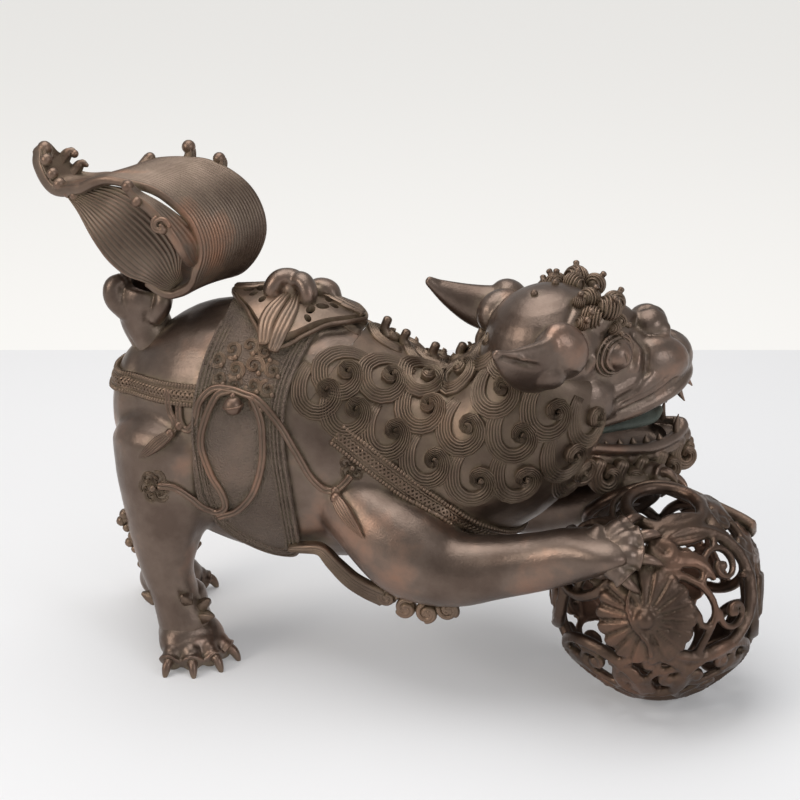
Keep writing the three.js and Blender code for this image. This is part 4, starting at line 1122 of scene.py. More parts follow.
bmesh.ops.scale(knot, vec=[KNOT_GROWTH] * 3, space=Matrix.Translation((55, 2, -192)), verts=knot.verts)
knot_mesh = fused(knot, 0.8, 3)
for line in ([(-66, -10, 198), (-64, -10, 203), (-58, -8.5, 206)],
             [(-46, -12, 197), (-48, -11, 203), (-54, -8, 206)],
             [(-50, 1, 200), (-44, 0, 202), (-38, 0, 199)]):
    press(knot_mesh, line, 1.1, -0.9)
cast(opened(knot_mesh), "lid_bow_knot", "lid", "dark_bronze", smooth_bronze, "lid_knot")

# ---------------------------------------------------------------- tail
# The tail is a plume of two leaves combed into long fine ridges. The long leaf rolls forward and
# back over itself, and curled fingers with ball ends stand along its edges. A pin holds its stump.

TAIL_ACROSS = (0.37, 0.93, 0)
LONG_LEAF = [
    (-129, 0, 205, 19, 3), (-112, 0, 199.5, 24, 3), (-97, 0, 205, 27, 3), (-88.5, 0, 223, 28, 3),
    (-95, 0, 241.5, 28.5, 3), (-114, 0, 254, 28.5, 3), (-139, 0, 256, 27, 3), (-161, 0, 249.5, 21, 3.2),
    (-177, 0, 249, 13.5, 3.6), (-186, 0, 258.5, 9.5, 3.8), (-189, 0, 265.5, 5, 3.6),
]
NEAR_LEAF = [
    (-114, -18, 203.5, 5, 2.6), (-117.5, -21, 209, 9.5, 2.8), (-122.5, -25, 219, 17, 2.8),
    (-132.5, -26, 230, 19, 2.8), (-144.5, -24, 239, 16, 2.8), (-157, -18, 244, 10, 2.8),
    (-168, -13, 246.5, 4, 2.6),
]
# Combed bronze: close parallel ridges, brown with copper showing on the bend
combed_bronze = bronze("combed_ridge_bronze", "#65574d", "#857568", "#a87255", "#8f8169", 0.4, 0.7, 0.8)


def combed(count, depth=0.3):
    """A leaf outline with fine ridges on both faces and rounded edges."""
    upper = []
    for k in range(4 * count + 1):
        a = -1 + k / (2 * count)
        groove = depth * (1 if k % 4 == 0 else 0 if k % 4 == 2 else 0.32)
        upper.append((a * 0.995, (1 - groove) * (1 - 0.75 * abs(a) ** 24)))
    lower = [(a, -b) for a, b in upper[1:-1]]
    return np.array(upper[::-1] + lower)


def finger(bm, path, tip, ridges=3):
    """A curled finger of the plume that ends in a ball."""
    sweep(bm, path, combed(ridges, 0.18), rows=18, across=TAIL_ACROSS, domes=(0.3, 0.5))
    end = np.array(path[-1][:3], float)
    ball(bm, end, tip, sides=16)


plume = bmesh.new()
sweep(plume, LONG_LEAF, combed(25), rows=130, across=TAIL_ACROSS, domes=(0.5, 0.9))
for path, tip in (
    ([(-125, 25, 250, 5, 3), (-120, 28, 256, 3.4, 2.8), (-118.5, 28.5, 260.5, 2.6, 2.4),
      (-119.5, 29, 264, 2.6, 2.6)], 3.7),
    ([(-108, 26, 248, 5, 3), (-103, 28, 253, 3.4, 2.8), (-101.5, 28.5, 256.5, 2.5, 2.4),
      (-103, 29, 258.5, 2.4, 2.4)], 3.4),
    ([(-96, 26, 240, 4, 3), (-93, 28, 245.5, 3.4, 3)], 3.6),
    ([(-142, 20, 253, 4, 3), (-139, 23, 258.5, 2.6, 2.6)], 3.0),
    ([(-178, 6, 249, 4, 3), (-174.5, 8, 254, 2.8, 2.6), (-171.5, 8, 257.5, 1.9, 1.9),
      (-168.5, 8, 256.5, 1.0, 1.0)], 1.1),
    ([(-183, 6, 254, 4, 3), (-180, 7, 260.5, 2.8, 2.6), (-177, 7, 263.5, 2.2, 2.2),
      (-174.5, 7, 262.5, 1.6, 1.6)], 2.2),
    ([(-187, -2, 262, 4, 3.4), (-187.5, -1, 266.5, 3.2, 3)], 4.0),
):
    finger(plume, path, tip)
for place, size in (((-184.5, -7, 262), 3.3), ((-180.5, -9.5, 255.5), 3.2), ((-176.5, -11, 250.5), 3.5)):
    ball(plume, place, size, sides=16)
cast(plume, "tail_plume_roll", "statue", "dark_bronze", combed_bronze, "tail_plume")

near = bmesh.new()
sweep(near, NEAR_LEAF, combed(14), rows=70, across=(0.62, 0.22, 0.75), domes=(0.5, 0.8))
finger(near, [(-101, -24, 218, 5, 2.6), (-103, -28.5, 228, 8, 2.8), (-109, -31.5, 237.5, 7, 2.8),
              (-118, -32.5, 246, 4.6, 2.8), (-127, -32.5, 252, 2.8, 2.4), (-131.5, -33, 257, 2.4, 2.4)], 3.2,
       ridges=5)
for place, size in (((-126, -36, 250), 2.7), ((-112.5, -38, 237), 2.6)):
    ball(near, place, size, sides=14)
for turn in (0, 1):
    angle = np.linspace(0, 5.2, 30)
    radius = 4.6 - 0.72 * angle
    snail = [Vector((-113.5 + r * math.cos(a + 2 * turn), -38.2 - 0.25 * a, 239 + r * math.sin(a + 2 * turn)))
             for a, r in zip(angle, radius)]
    strand(near, snail, (0.0, -1.0, 0.05), oval(8), 1.25, 1.25, taper=(1.1, 0.7))
for place, size in (((-171, -13, 247), 3.1), ((-166.5, -15.5, 246), 2.9)):
    ball(near, place, size, sides=14)
cast(near, "tail_near_blade", "statue", "dark_bronze", combed_bronze, "tail_near_leaf")

stump = bmesh.new()
sweep(stump, [(-125, 0, 152, 17, 15), (-132, 0, 166, 14, 12.5), (-137.5, 0, 178, 14, 13),
              (-137, 0, 189, 17, 14.5), (-136, 0, 196, 16, 13)], oval(24), rows=24, domes=(0.5, 0.2))
for path in (
    [(-144, -9, 184, 6, 6), (-149, -11, 191, 6.6, 6), (-149.5, -11, 197.5, 6, 5.6), (-146, -10, 201, 4, 4)],
    [(-141, -3, 188, 6, 6), (-144, -3, 197, 6.4, 6), (-142.5, -2, 203.5, 5.6, 5.4),
     (-139, -2, 206, 3.6, 3.6)],
    [(-140, 10, 186, 6, 6), (-147, 12, 193, 6, 6), (-146, 12, 200, 5.6, 5.6), (-142, 11, 203, 3.8, 3.8)],
    [(-128, -10, 182, 5, 5), (-123.5, -12, 189, 5, 5), (-123, -11, 195, 4.4, 4.4)],
):
    sweep(stump, path, oval(14), rows=18, across=TAIL_ACROSS)
stump_mesh = fused(stump, 0.9, 3)
for offset in (-9, -4.5, 0, 4.5, 9):
    line = [(-137 + 0.2 * offset, offset * 1.2, 160), (-142 + 0.2 * offset, offset, 176), (-146, offset, 190)]
    press(stump_mesh, line, 1.3, -0.9, facing=(-0.6, -0.6, 0.2))
hollow = bmesh.new()
ball(hollow, (-133, -4, 199), (9, 9, 14), (0, -10, 0), sides=20)
stump_mesh = carved(stump_mesh, hollow, "DIFFERENCE")
cast(opened(stump_mesh), "tail_stump", "statue", "dark_bronze", smooth_bronze, "tail_base")

# ---------------------------------------------------------------- openwork ball
# The ball is a hollow casting pierced between scrolling vines. Broad ring frames hold the vines,
# and a chrysanthemum stands in relief on each side. A pleated sash is laid over its top.

BALL_CENTRE = Vector((138, -17, 54.6))
BALL_RADIUS = 52.6
SKIN_HALF = 2.3
STEM = [(-0.75, 0.62), (-0.35, 0.42), (0.0, 0.1), (0.1, -0.3), (-0.15, -0.7), (-0.3, -0.95)]
LEAF = [(-0.55, 0.5), (-0.3, 0.6), (-0.05, 0.55), (0.12, 0.38), (0.2, 0.15)]


def ball_spot(face, x, y, out=0.0):
    """A place on the ball, x and y millimetres from the middle of one of its faces."""
    face = Vector(face).normalized()
    east = Vector((0, 0, 1)).cross(face)
    east = east.normalized() if east.length > 0.05 else Vector((1, 0, 0))
    north = face.cross(east).normalized()
    reach = math.hypot(x, y)
    bend = reach / BALL_RADIUS
    along = (east * x + north * y) / max(reach, 1e-6)
    direction = face * math.cos(bend) + along * math.sin(bend)
    return BALL_CENTRE + direction * (BALL_RADIUS + out), direction


def vine(bm, face, drawn, wide, rise=SKIN_HALF, rows=40, out=0.0, outline=None, closed=False):
    """A stem of the openwork along a drawn line of x and y on one face of the ball."""
    track = smooth_line(drawn + drawn[:1] if closed else drawn, rows)
    spots = [ball_spot(face, x, y, out) for x, y in track[:, :2]]
    widths = wide if np.isscalar(wide) else np.interp(np.linspace(0, 1, rows), np.linspace(0, 1, len(wide)),
                                                      wide)
    strand(bm, [s[0] for s in spots], [s[1] for s in spots], oval(10) if outline is None else outline,
           widths, rise)


def circle(radius, count=12):
    """Drawn points round a circle."""
    turns = [2 * math.pi * k / count for k in range(count)]
    return [(radius * math.cos(turn), radius * math.sin(turn)) for turn in turns]


def spiral(x, y, outer, inner, start, turns, count=16):
    """Drawn points of a vine that curls inwards."""
    points = []
    for k in range(count + 1):
        share = k / count
        radius = outer + (inner - outer) * share ** 0.8
        angle = start + turns * 2 * math.pi * share
        points.append((x + radius * math.cos(angle), y + radius * math.sin(angle)))
    return points


def scroll_face(bm, face, radius, turn=0.0, frame_wide=3.2, flip=1):
    """A ring frame filled with scrolling vines, a leaf and buds."""
    vine(bm, face, circle(radius), frame_wide, SKIN_HALF + 0.7, rows=64, closed=True)
    vine(bm, face, circle(radius - frame_wide * 0.2), 0.8, 0.8, rows=64, out=SKIN_HALF + 0.6, closed=True)
    cos, sin = radius * math.cos(turn), radius * math.sin(turn)

    def turned(points):
        """Points given as shares of the radius, in millimetres and turned with the scroll."""
        return [(x * cos - flip * y * sin, x * sin + flip * y * cos) for x, y in points]

    for drawn, widths, rows in (
        (STEM, [3.2, 2.6, 2.0, 1.8, 2.0, 2.6], 40),
        ([(0, 0.15)] + spiral(0.45, 0.3, 0.36, 0.1, math.pi, -1.15), [1.9, 1.7, 1.5, 1.3], 44),
        ([(0.1, -0.3)] + spiral(0.45, -0.42, 0.3, 0.08, math.pi * 0.9, 1.1), [1.9, 1.6, 1.3], 40),
        ([(-0.05, -0.5)] + spiral(-0.45, -0.3, 0.3, 0.09, -0.4, 1.1), [1.8, 1.5, 1.3], 40),
        ([(0.8, 0.05), (0.95, 0.02)], 1.8, 8),
        ([(0.45, 0.62), (0.6, 0.85)], 1.7, 8),
    ):
        vine(bm, face, turned(drawn), widths, rows=rows)
    fluted = ridged(3, 0.72, -0.8)
    vine(bm, face, turned(LEAF), [0.8, 4.2, 4.6, 3.0, 0.8], SKIN_HALF + 0.4, rows=30, out=0.6, outline=fluted)
    for bud in turned([(0.45, 0.3), (0.45, -0.42), (-0.45, -0.3)]):
        ball(bm, ball_spot(face, *bud, 0.4)[0], 2.6, sides=10)


def chrysanthemum(bm, face, radius, petals=18):
    """A flower in relief: a ring of fluted petals round a button."""
    for k in range(petals):
        angle = 2 * math.pi * k / petals
        line = [(s * math.cos(angle), s * math.sin(angle)) for s in np.linspace(0.2 * radius, radius, 5)]
        half = radius * math.pi / petals
        vine(bm, face, line, [0.28 * half, 0.5 * half, 0.75 * half, 0.98 * half, 0.9 * half], 2.2, rows=16,
             out=2.2)
    vine(bm, face, circle(0.55 * radius, count=10), 0.5 * radius, 1.6, rows=40, out=0.2, closed=True)
    ball(bm, ball_spot(face, 0, 0, 3.2)[0], 0.24 * radius, sides=20)
    for x, y in circle(0.3 * radius, count=10):
        ball(bm, ball_spot(face, x, y, 3.6)[0], 0.075 * radius, sides=8)


MAIN_FACE = (0.5, -0.77, 0.37)
FLOWER_FACE = (-0.02, -0.98, 0.18)
TOP_FACE = (0.05, -0.15, 0.98)
work = bmesh.new()
scroll_face(work, MAIN_FACE, 33.5, turn=0.15, frame_wide=3.7)
vine(work, TOP_FACE, circle(19), 3.4, 3.4, rows=56, out=0.8, closed=True)
vine(work, TOP_FACE, circle(27), 2.0, 2.4, rows=56, closed=True)
for face, radius, turn, flip in (
    ((-0.45, -0.62, -0.62), 24, 0.8, 1), ((0.62, -0.55, -0.55), 22, 2.2, -1), ((1.0, 0.12, 0.12), 26, 1.2, 1),
    ((0.45, 0.85, 0.2), 27, 0.3, -1), ((-0.5, 0.82, 0.1), 26, 2.6, 1), ((-0.98, -0.1, 0.12), 25, 1.9, -1),
    ((0.0, 0.62, -0.78), 23, 0.5, 1), ((0.05, -0.1, -1.0), 21, 0.0, 1), ((-0.62, -0.55, 0.55), 20, 0.4, 1),
    ((0.7, 0.1, 0.72), 20, 2.9, -1), ((-0.45, 0.55, 0.72), 20, 1.1, 1), ((0.75, 0.3, -0.6), 19, 1.6, -1),
    ((-0.75, 0.3, -0.6), 20, 0.9, 1), ((0.05, -0.86, -0.5), 17, 2.4, 1),
):
    scroll_face(work, face, radius, turn, frame_wide=3.0, flip=flip)
OTHER_FLOWER_FACE = (0.1, 0.95, -0.3)
chrysanthemum(work, FLOWER_FACE, 23)
chrysanthemum(work, OTHER_FLOWER_FACE, 17, 16)
vine(work, FLOWER_FACE, [(-7, 14), (-8, 5), (-4, -4), (2, -11), (4, -18)], [1.0, 1.6, 1.6, 1.2], 1.8, out=4.6)
cloud = [(-22, 28), (-19, 20), (-13, 19), (-12, 25), (-16, 28), (-18, 33), (-12, 38), (-3, 40), (8, 40)]
vine(work, MAIN_FACE, cloud, [1.6, 3.4, 3.0, 2.6, 2.4, 3.0, 3.6, 3.0, 1.6], 2.8, rows=60, out=1.6,
     outline=ridged(2, 0.8, -0.8))
ball_mesh = fused(work, 1.05, 2)
for face, size, petals in ((FLOWER_FACE, 23, 17), (OTHER_FLOWER_FACE, 17, 14)):
    for k in range(petals):
        turn = 2 * math.pi * k / petals
        groove = [ball_spot(face, r * math.cos(turn), r * math.sin(turn), 5.5 - 0.1 * r)[0]
                  for r in np.linspace(0.34 * size, size, 9)]
        press(ball_mesh, groove, 0.95, -1.5)
ball_bm = opened(ball_mesh)
cut(ball_bm, (0, 0, 1), 0.0)
# Vine bronze: a darker brown patina than the body, with painted shade darkening the hollows round the
# piercings, and rubbed to copper on the outer faces
vine_bronze = bronze("pierced_vine_bronze", "#483b33", "#665347", "#8c6450", "#796b52", 0.36, 0.5, 0.6)
cast(ball_bm, "openwork_ball", "statue", "rubbed_bronze", vine_bronze, "ball_shell")

sash = bmesh.new()
line = [(119, 1, 100), (129, 5, 103), (140, 9, 101), (151, 11, 96.5), (164, 11, 91), (176, 9, 86.5),
        (184.5, 6, 83)]
places = smooth_line(line, 60)
normals = unit(places - np.array(BALL_CENTRE))
strand(sash, places, normals, combed(6, 0.4), 10.5, 2.4)
cast(sash, "pleated_sash", "statue", "rubbed_bronze", combed_bronze, "ball_sash", sharp=60)

# ---------------------------------------------------------------- head
# The head is a hollow bronze casting fixed to the neck, turned to the lion's left and a bit up.
# It is drawn in its own frame, X out of the face, Y to its left and Z to its crown.

HEAD = Matrix.Translation((79, 2, 175)) @ Matrix.Rotation(math.radians(30), 4, "Z")
HEAD = HEAD @ Matrix.Rotation(math.radians(-13), 4, "Y") @ Matrix.Rotation(math.radians(7), 4, "X")
HEAD_VOXEL = 0.85
MOUTH_ROOF = -40


def both(points, side):
    """Drawn points of the left half of the face, or mirrored to the right half."""
    return [(p[0], side * p[1], *p[2:]) for p in points]


def in_row(bm):
    """Moves a shape from the head's own frame to the row's."""
    bmesh.ops.transform(bm, matrix=HEAD, verts=bm.verts)
    return bm


wax = bmesh.new()
ball(wax, (-2, 0, 4), (33, 31, 31), sides=32)
sweep(wax, [(8, 0, -12, 27, 24), (32, 0, -15, 25, 20), (50, 0, -21, 20, 14), (58, 0, -24, 16, 11)],
      oval(28), rows=24)
ball(wax, (30, 0, 8), (18, 9, 9), (0, 22, 0), sides=20)
ball(wax, (53, 0, -2.5), (10, 12, 8.5), sides=24)
ball(wax, (-18, 0, -8), (22, 27, 30), sides=24)
for side in (-1, 1):
    ball(wax, (47, side * 12.5, -19), (20, 13, 15), (0, 10, side * 8), sides=24)
    ball(wax, (57, side * 8, -5.5), (5.2, 4.8, 4.6), sides=16)
    ball(wax, (20, side * 15, 17), (13, 9, 8), (0, 0, side * -18), sides=20)
    ball(wax, (6, side * 21, -22), (16, 12, 16), sides=20)
    ball(wax, (22.5, side * 21, -0.5), (10, 7.5, 9.5), sides=24)
    sweep(wax, both([(12, 24, -26, 3.5, 3.5), (2, 27, -29, 4.4, 4.4), (-4, 27, -38, 4.6, 4.6),
                     (1, 25, -47, 4.4, 4.4), (11, 23, -50, 3.6, 3.6)], side), oval(14), rows=24)
    sweep(wax, both([(9, 24, -36, 3, 3), (30, 25.5, -35, 3.4, 3.4), (52, 22, -33, 3.6, 3.6),
                     (64, 14, -32, 3.6, 3.6), (69.5, 4, -32, 3.4, 3.4), (70, 0, -32, 3.4, 3.4)], side),
          oval(14), rows=40)
    sweep(wax, both([(6, 23.5, -26, 5, 10), (20, 24, -26, 5, 10.5), (38, 22.5, -25, 5.5, 10),
                     (54, 17, -24.5, 6, 9.5), (65, 8, -24, 6.5, 9), (68, 0, -24, 6.5, 8.5)], side), oval(16),
          rows=36)
ball(wax, (-16, 25, 16), (14, 10, 12), (0, 0, 12), sides=20)
head_wax = fused(wax, HEAD_VOXEL, 7)
for side in (-1, 1):
    for line, width, height in (
        ([(24, 12, 4), (17, 17, 9.5), (13, 25, 6), (13, 29, -2), (18, 30, -9), (27, 28, -11)], 1.7, -2.4),
        ([(30, 13, 6), (33, 19, 2), (34, 23, -5), (29, 28, -11)], 1.6, -2.0),
        ([(10, 28, 5), (8.5, 31, -3), (12, 32, -11), (20, 31, -16)], 1.6, 1.5),
        ([(7, 29, 4), (5, 32, -4), (9, 33, -13)], 1.2, -1.4),
        ([(62.5, 8.5, -7)], 2.3, -3.6),
        ([(59, 3, 3), (62, 3.5, -4)], 1.3, -1.0),
        ([(40, 13, 0), (42, 19, -8), (39, 24, -16), (30, 27, -22), (20, 29, -24)], 2.0, -2.2),
        ([(37, 14, 5), (38, 20, -5), (33, 26, -14)], 1.5, 1.2),
        ([(20, 29, -31), (38, 27, -29), (54, 23, -26), (65, 14, -24.5), (70, 5, -24.5), (71, 0, -24.5)],
         1.2, -1.8),
        ([(22, 29, -27), (40, 27, -24.5), (56, 22.5, -21), (66, 13, -19.5), (69, 5, -20)], 1.0, -1.1),
        ([(34, 0, 17), (45, 0, 9), (54, 0, 6)], 1.6, -0.9),
        ([(6, 26, -26), (0, 28, -34), (3, 27, -42)], 1.6, 0.8),
        ([(14, 26, -30), (6, 27, -36), (8, 26, -43)], 1.6, -2.4),
        ([(2, 26, -12), (-6, 29, -20), (-9, 29, -32)], 2.2, -1.6),
        ([(20, 6, 26), (10, 14, 30), (2, 22, 26)], 1.6, -1.0),
    ):
        press(head_wax, both(line, side), width, height)
roof = slab((0, 0, -1), -MOUTH_ROOF)
cut(roof, (1, 0, 0), 4)
head_wax = carved(head_wax, roof, "DIFFERENCE")
palate = bmesh.new()
ball(palate, (36, 0, -42), (30, 17, 9), sides=24)
head_wax = carved(head_wax, palate, "DIFFERENCE")
gullet = bmesh.new()
sweep(gullet, [(-30, 0, -14, 20, 20), (6, 0, -24, 17, 17), (30, 0, -42, 15, 12)], oval(20), rows=20)
head_wax = carved(head_wax, gullet, "DIFFERENCE")
head_tree = BVHTree.FromBMesh(opened(head_wax))
cast(in_row(opened(head_wax)), "lion_head", "statue", "dark_bronze", smooth_bronze, "head_shell", sharp=60)

# The eyes are round balls between folded lids, each with a slit pupil cut by a graver
eyes = bmesh.new()
for side in (-1, 1):
    middle = Vector((23.5, side * 23.2, -0.5))
    ball(eyes, middle + Vector((0.6, side * 1.6, 0)), (7.8, 7.4, 7.8), sides=28)
    gaze = Vector((0.35, side * 0.93, 0.05)).normalized()
    level = gaze.cross(Vector((0, 0, 1))).normalized()
    rise_by = level.cross(gaze).normalized()
    for radius, height, size in ((8.4, 3.2, 0.9), (10.6, 1.6, 0.9), (12.6, 0.0, 0.8)):
        ring = [middle + gaze * height + (level * math.cos(a) + rise_by * math.sin(a) * 0.86) * radius
                for a in np.linspace(0, 2 * math.pi, 49)]
        strand(eyes, ring, gaze, oval(8), size, size)
eye_mesh = fused(eyes, 0.45, 2)
for side in (-1, 1):
    press(eye_mesh, [(26.6, side * 32, 2.4), (26.9, side * 32, -2.8)], 0.8, -1.4)
eye_bm = in_row(opened(eye_mesh))
cast(eye_bm, "eyeballs_and_lids", "statue", "dark_bronze", smooth_bronze)


def shell(bm, at, size):
    """A knob of hair: a round ribbed shell on the head with a pointed bead on its crown."""
    spot, normal, _, _ = surface_frame(head_tree, at)
    level = normal.cross(Vector((0.5, 0.2, 1))).normalized()
    over_it = level.cross(normal)
    ball(bm, spot + normal, size * 0.93, sides=16)
    for k in range(-3, 4):
        reach = size * math.sqrt(max(0.05, 1 - (k / 3.7) ** 2))
        foot = spot + normal + level * (size * k / 3.7)
        arc = [foot + (normal * math.sin(a) + over_it * math.cos(a)) * reach
               for a in np.linspace(-0.3, math.pi + 0.3, 17)]
        strand(bm, arc, np.array(arc) - np.array(spot), oval(6), size * 0.115, size * 0.13)
    sweep(bm, [(*(spot + normal * size * 0.9), 2.2, 2.2), (*(spot + normal * (size + 1.6)), 1.6, 1.6),
               (*(spot + normal * (size + 3)), 1.7, 1.7)], oval(10), rows=8, domes=(0.3, 0.7))


# Knobs of hair over the brow: x, y, z and size
BROW_KNOBS = [
    (30, 12, 20, 5.4), (24, 18, 21, 6.2), (15, 21, 22, 5.4), (20, 10, 27, 5.4), (33, 18, 12, 3.4),
    (26, 23, 13, 3.4), (12, 14, 29, 3.4), (8, 22, 21, 3.4),
]
brow = bmesh.new()
for side in (-1, 1):
    for x, y, z, size in BROW_KNOBS:
        shell(brow, (x, side * y, z), size)
for x, y, z in ((8, 4, 34), (-6, -2, 35)):
    spot, normal, _, _ = surface_frame(head_tree, (x, y, z))
    ball(brow, spot + normal * 0.6, 2.0, sides=10)
cast(in_row(brow), "brow_curls", "statue", "dusted_bronze", mane_bronze)

# ---------------------------------------------------------------- ears
# Each ear is a thick folded leaf swept back to a point: a rounded back, a ridge along the fold and
# a hollow inside. It is cast apart and let into the side of the head.

for side, hand in ((-1, "right"), (1, "left")):
    wax = bmesh.new()
    tall = 1 if side < 0 else 0.72
    sweep(wax, both([(-3, 25, 12, 14 * tall, 8), (-13, 31, 13, 17.5 * tall, 9),
                     (-24, 37, 17, 15.5 * tall, 7.5), (-35, 42, 25, 10 * tall, 5), (-45, 46, 35, 2.6, 1.9)],
                    side),
          oval(28), rows=40, across=(0.2, side * 0.3, 0.93), domes=(0.5, 0.8))
    ball(wax, (-8, side * 33, 17), (14 * tall, 10, 16 * tall), (0, -25, 0), sides=24)
    ball(wax, (-20, side * 37, 11), (12.5, 7.5, 8), (0, 36, 0), sides=24)
    ear = fused(wax, 0.8, 4)
    press(ear, both([(-4, 42, 4), (-12, 46, 11), (-22, 47.5, 18), (-33, 47, 26), (-42, 47, 32)], side), 1.5,
          -2.4)
    press(ear, both([(-2, 41, 7), (-10, 46, 14), (-20, 47.5, 21), (-32, 47, 28)], side), 1.3, 1.1)
    press(ear, both([(-16, 30, 31), (-28, 35, 33), (-38, 41, 37)], side), 4, -3.2)
    cast(in_row(opened(ear)), hand + "_leaf_ear", "statue", "dark_bronze", smooth_bronze, hand + "_ear")

# ---------------------------------------------------------------- jaw, tongue, teeth and beard
# The lower jaw is a trough with a rolled lip, closed under the chin by a beard of hooked locks.
# The tongue is a thin leaf in the trough, and verdigris has grown on it. The teeth are cast in rows.

JAW = [(-6, 0, -54, 22, 12), (10, 0, -61, 21.5, 10.5), (28, 0, -68, 19.5, 9), (46, 0, -73.5, 15.5, 7),
       (60, 0, -75.5, 10.5, 5.5)]
wax = bmesh.new()
sweep(wax, JAW, oval(28), rows=30, domes=(0.6, 0.7))
for side in (-1, 1):
    sweep(wax, both([(4, 22, -50, 3, 3), (20, 20.5, -58, 3, 3), (38, 17, -65.5, 3, 3),
                     (54, 10.5, -69.5, 3, 3), (63, 4, -70, 3.2, 3.2), (65, 0, -69.5, 3.4, 3.4)], side),
          oval(12), rows=36)
ball(wax, (64, 0, -75), (5, 7, 5), sides=16)
jaw = fused(wax, 0.8, 5)
for side in (-1, 1):
    for k in range(7):
        x = 8 + 8 * k
        y = 22.5 - 0.0042 * x * x
        press(jaw, both([(x, y, -56 - 0.3 * x), (x + 2, y - 1, -64 - 0.25 * x)], side), 1.5,
              -0.9 if k % 2 else 0.9)
trough = bmesh.new()
sweep(trough, [(0, 0, -43, 17, 13), (26, 0, -57, 15.5, 9), (50, 0, -67.5, 10, 6)], oval(20), rows=20)
jaw = carved(jaw, trough, "DIFFERENCE")
cast(in_row(opened(jaw)), "lower_jaw_casting", "statue", "dark_bronze", smooth_bronze, "lower_jaw", sharp=60)

# Verdigris: the green crust that moist bronze grows, rough, powdery and blotched with brown
verdigris = bronze("verdigris_crust", "#41453f", "#636b61", "#6d5a48", "#878d7c", 0.62, 0.9, 0.4, grain=0.3,
                   metallic=0.25)
wax = bmesh.new()
sweep(wax, [(8, 0, -50, 10, 4), (22, 0, -51, 12, 4.6), (36, 0, -54, 11.5, 4.4), (47, 0, -57, 8, 3.4),
            (53, 0, -55, 4.5, 2.2)],
      oval(20), rows=26)
tongue = fused(wax, 0.8, 3)
press(tongue, [(14, 0, -46), (34, 0, -48), (50, 0, -53)], 1.6, -1.8)
for x in (18, 25, 32, 39):
    press(tongue, [(x, -8, -48), (x + 3, 0, -47), (x, 8, -48)], 1.2, 0.5)
cast(in_row(opened(tongue)), "tongue_leaf", "statue", "green_bronze", verdigris, "tongue")


def tooth(bm, at, height, size, lean=(0.1, 0, 0)):
    """A tapering tooth."""
    at, lean = Vector(at), Vector(lean)
    up = Vector((0, 0, height))
    sweep(bm, [(*at, size, size), (*(at + up * 0.5 + lean * abs(height) * 0.3), size * 0.75, size * 0.75),
               (*(at + up + lean * abs(height)), size * 0.15, size * 0.15)], oval(10), rows=9,
               across=(0, 1, 0))


upper, lower = bmesh.new(), bmesh.new()
for side in (-1, 1):
    tooth(upper, (66.5, side * 6, -33), -12, 2.5, (0.35, 0, 0))
    tooth(upper, (58.5, side * 14.5, -35), -11, 2.3, (0.25, side * 0.1, 0))
    tooth(lower, (57.5, side * 8, -69), 11, 2.1, (0.25, 0, 0))
    for k in range(5):
        tooth(upper, (50 - 7 * k, side * (18 + 0.9 * k), -37), -4.6, 2.3, (0, 0, 0))
        tooth(lower, (46 - 8 * k, side * (12.5 + 1.4 * k), -66.5 + 2.6 * k), 4.2, 2.2, (0, 0, 0))
    tooth(upper, (68.5, side * 2, -34), -4.4, 2.0, (0.1, 0, 0))
    tooth(lower, (61.5, side * 2.4, -70), 4.2, 1.9, (0.1, 0, 0))
cast(in_row(upper), "upper_tooth_row", "statue", "dark_bronze", smooth_bronze, "upper_teeth")
cast(in_row(lower), "lower_tooth_row", "statue", "dusted_bronze", mane_bronze, "lower_teeth")

beard = bmesh.new()
sweep(beard, [(-2, 0, -63, 18, 9), (22, 0, -74, 16, 7), (46, 0, -80, 11, 5), (58, 0, -80, 6, 3.5)],
      oval(24), rows=20)
HOOK = [(0, 0), (-3.6, -5), (-3.2, -10.5), (1.2, -13.6), (5.6, -11.6), (6.4, -7.4), (3.6, -5.6), (1.8, -8.0)]
for x, y, z, size in ((-6, 22, -48, 1.15), (7, 22, -59, 1.1), (20, 20, -66, 1.1), (33, 16.5, -71, 1.05),
                      (46, 12, -74, 1.0), (58, 7, -74.5, 0.95)):
    for side in (-1, 1):
        line = smooth_line([(x + size * a, z + size * b) for a, b in HOOK], 34)
        bulge = np.sin(np.linspace(0, math.pi, len(line)))
        places = [(p[0], side * (y + 1.5 + 2.2 * s), p[1]) for p, s in zip(line, bulge)]
        widths = size * (3.9 - 2.4 * np.linspace(0, 1, len(line)) ** 2)
        strand(beard, places, (0.15, side * 0.98, -0.1), ridged(4, 0.74, -1.0), widths, size * 3.0)
for y in (-5, 0, 5):
    line = smooth_line([(64 - abs(y) * 0.4 + a * 0.7, -76 + b * 0.62) for a, b in HOOK], 30)
    places = [(p[0], y, p[1]) for p in line]
    strand(beard, places, (0.0, -1.0 if y <= 0 else 1.0, 0.0), ridged(3, 0.74, -1.0),
           2.6 - 1.4 * np.linspace(0, 1, 30) ** 2, 2.4)
cast(in_row(beard), "hooked_beard", "statue", "dusted_bronze", mane_bronze, "beard")

# ---------------------------------------------------------------- neck locks, crest and leg curls
# More locks close the mane over the spine and round the throat, with a crest of short pegs along
# the nape. Snails and tufts of hair stand at the elbows, the hocks and the hind ankles.

HOCK_DRAWN = 0.62
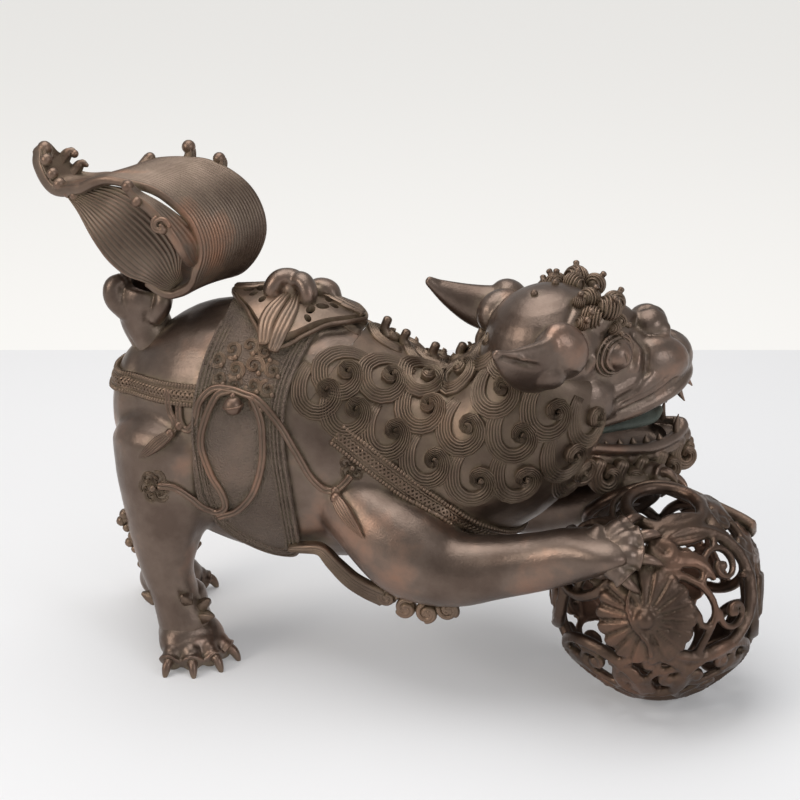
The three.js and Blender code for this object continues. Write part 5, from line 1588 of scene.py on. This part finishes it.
# Pegs of the crest: x, y and height
CREST = [(-8, 5, 9), (2, 5, 7.5), (17, 7, 8.5), (31, 8, 7.5), (41, 9, 8)]
more = bmesh.new()
for side in (-1, 1):
    for x, z in ((-34, 158), (60, 178), (100, 145), (93, 113)):
        lay(more, body_tree, flank(body_tree, x, z, side), LOCK_PATH, ridged(LOCK_RIDGES))
for x, y, turn in ((-26, 0, -60), (-8, 3, -80), (10, 4, -70), (27, 4, -70), (44, 5, -50)):
    lay(more, body_tree, over(body_tree, x, y), LOCK_PATH, ridged(LOCK_RIDGES), size=0.8, turn=turn)
for x, y, tall in CREST:
    foot = over(body_tree, x, y)
    middle = foot + Vector((-1, 0, tall * 0.5))
    head = foot + Vector((0.5, 0, tall))
    sweep(more, [(*foot, 3.4, 3.4), (*middle, 2.5, 2.5), (*head, 2.4, 2.4)], oval(12), rows=10,
          domes=(0.3, 0.7))
cast(more, "nape_locks", "statue", "dusted_bronze", mane_bronze)

tufts = bmesh.new()
for side, elbow in ((-1, ((4, -48, 53), (14, -49, 48), (25, -49, 46.5), (36, -49, 49.5))),
                    (1, ((24, 47, 62), (33, 47, 59), (41, 46, 58), (49, 44, 58)))):
    for k, at in enumerate(elbow):
        at = Vector(at)
        for radius, turn_by in ((5.2, 0), (4.6, 2.6)):
            angle = np.linspace(0, 5.4, 26)
            reach = radius * (1 - 0.13 * angle)
            start = turn_by + k
            snail = [at + Vector((r * math.cos(a + start), side * (1.6 + 0.25 * a), r * math.sin(a + start)))
                     for a, r in zip(angle, reach)]
            strand(tufts, snail, (0, side, 0), oval(8), 1.6, 2.2, taper=(1.1, 0.8))
        ball(tufts, at, (5.4, 4.4, 5.0), sides=14)
hair = smooth_line([(-50, -40, 71), (-42, -41, 72), (-33, -42, 72), (-25, -45, 66), (-16, -47, 59),
                    (-7, -48, 54.5), (1, -49, 52)], 60)
widths = 1.4 + 5.6 * np.linspace(0, 1, len(hair)) ** 0.7
strand(tufts, hair, (0.1, -0.85, -0.5), ridged(6, 0.6, -1.0), widths, 2.6)
# Tufts round a hind ankle: the root's x, y and z, and how far the tip stands off it
ANKLE_TUFTS = [(-118, -35, 26, -6, -1, 3), (-88, -40, 29, 5, -3, 5), (-86, -45, 24, 6, -3, 2),
               (-104, -46, 30, -1, -5, 4)]
for x, y, z, *reach in ANKLE_TUFTS:
    for side in (-1, 1):
        root = body_tree.find_nearest(Vector((x - drawn_back(side, 1), -side * y, z + 8)))[0]
        end = root + Vector((reach[0], -side * reach[1], reach[2]))
        sweep(tufts, [(*root, 3.4, 3.4), (*root.lerp(end, 0.55), 2.6, 2.6), (*end, 1.1, 1.1)],
              ridged(4, 0.8, -1), rows=10)
for side in (-1, 1):
    drawn = drawn_back(side, HOCK_DRAWN)
    for z, x, size in ((78, -141, 1.0), (66, -137, 0.95), (54, -131, 0.85)):
        for dx, dz, r in ((0, 3, 3.2), (-2, -1, 3.0), (1, -4.5, 2.7)):
            start = Vector((x + 8 - drawn, side * 34, z + dz + 4))
            end = Vector((x + dx - drawn, side * 36, z + dz))
            sweep(tufts, [(*start, 3.2 * size, 3.2 * size), (*start.lerp(end, 0.6), 2.6 * size, 2.6 * size),
                          (*(end - Vector((0, 0, 1.5))), r * size * 0.8, r * size * 0.8)], oval(10), rows=10)
            ball(tufts, end - Vector((0, 0, 1)), r * size * 0.95, sides=12)
cast(tufts, "leg_curls", "statue", "dusted_bronze", mane_bronze)
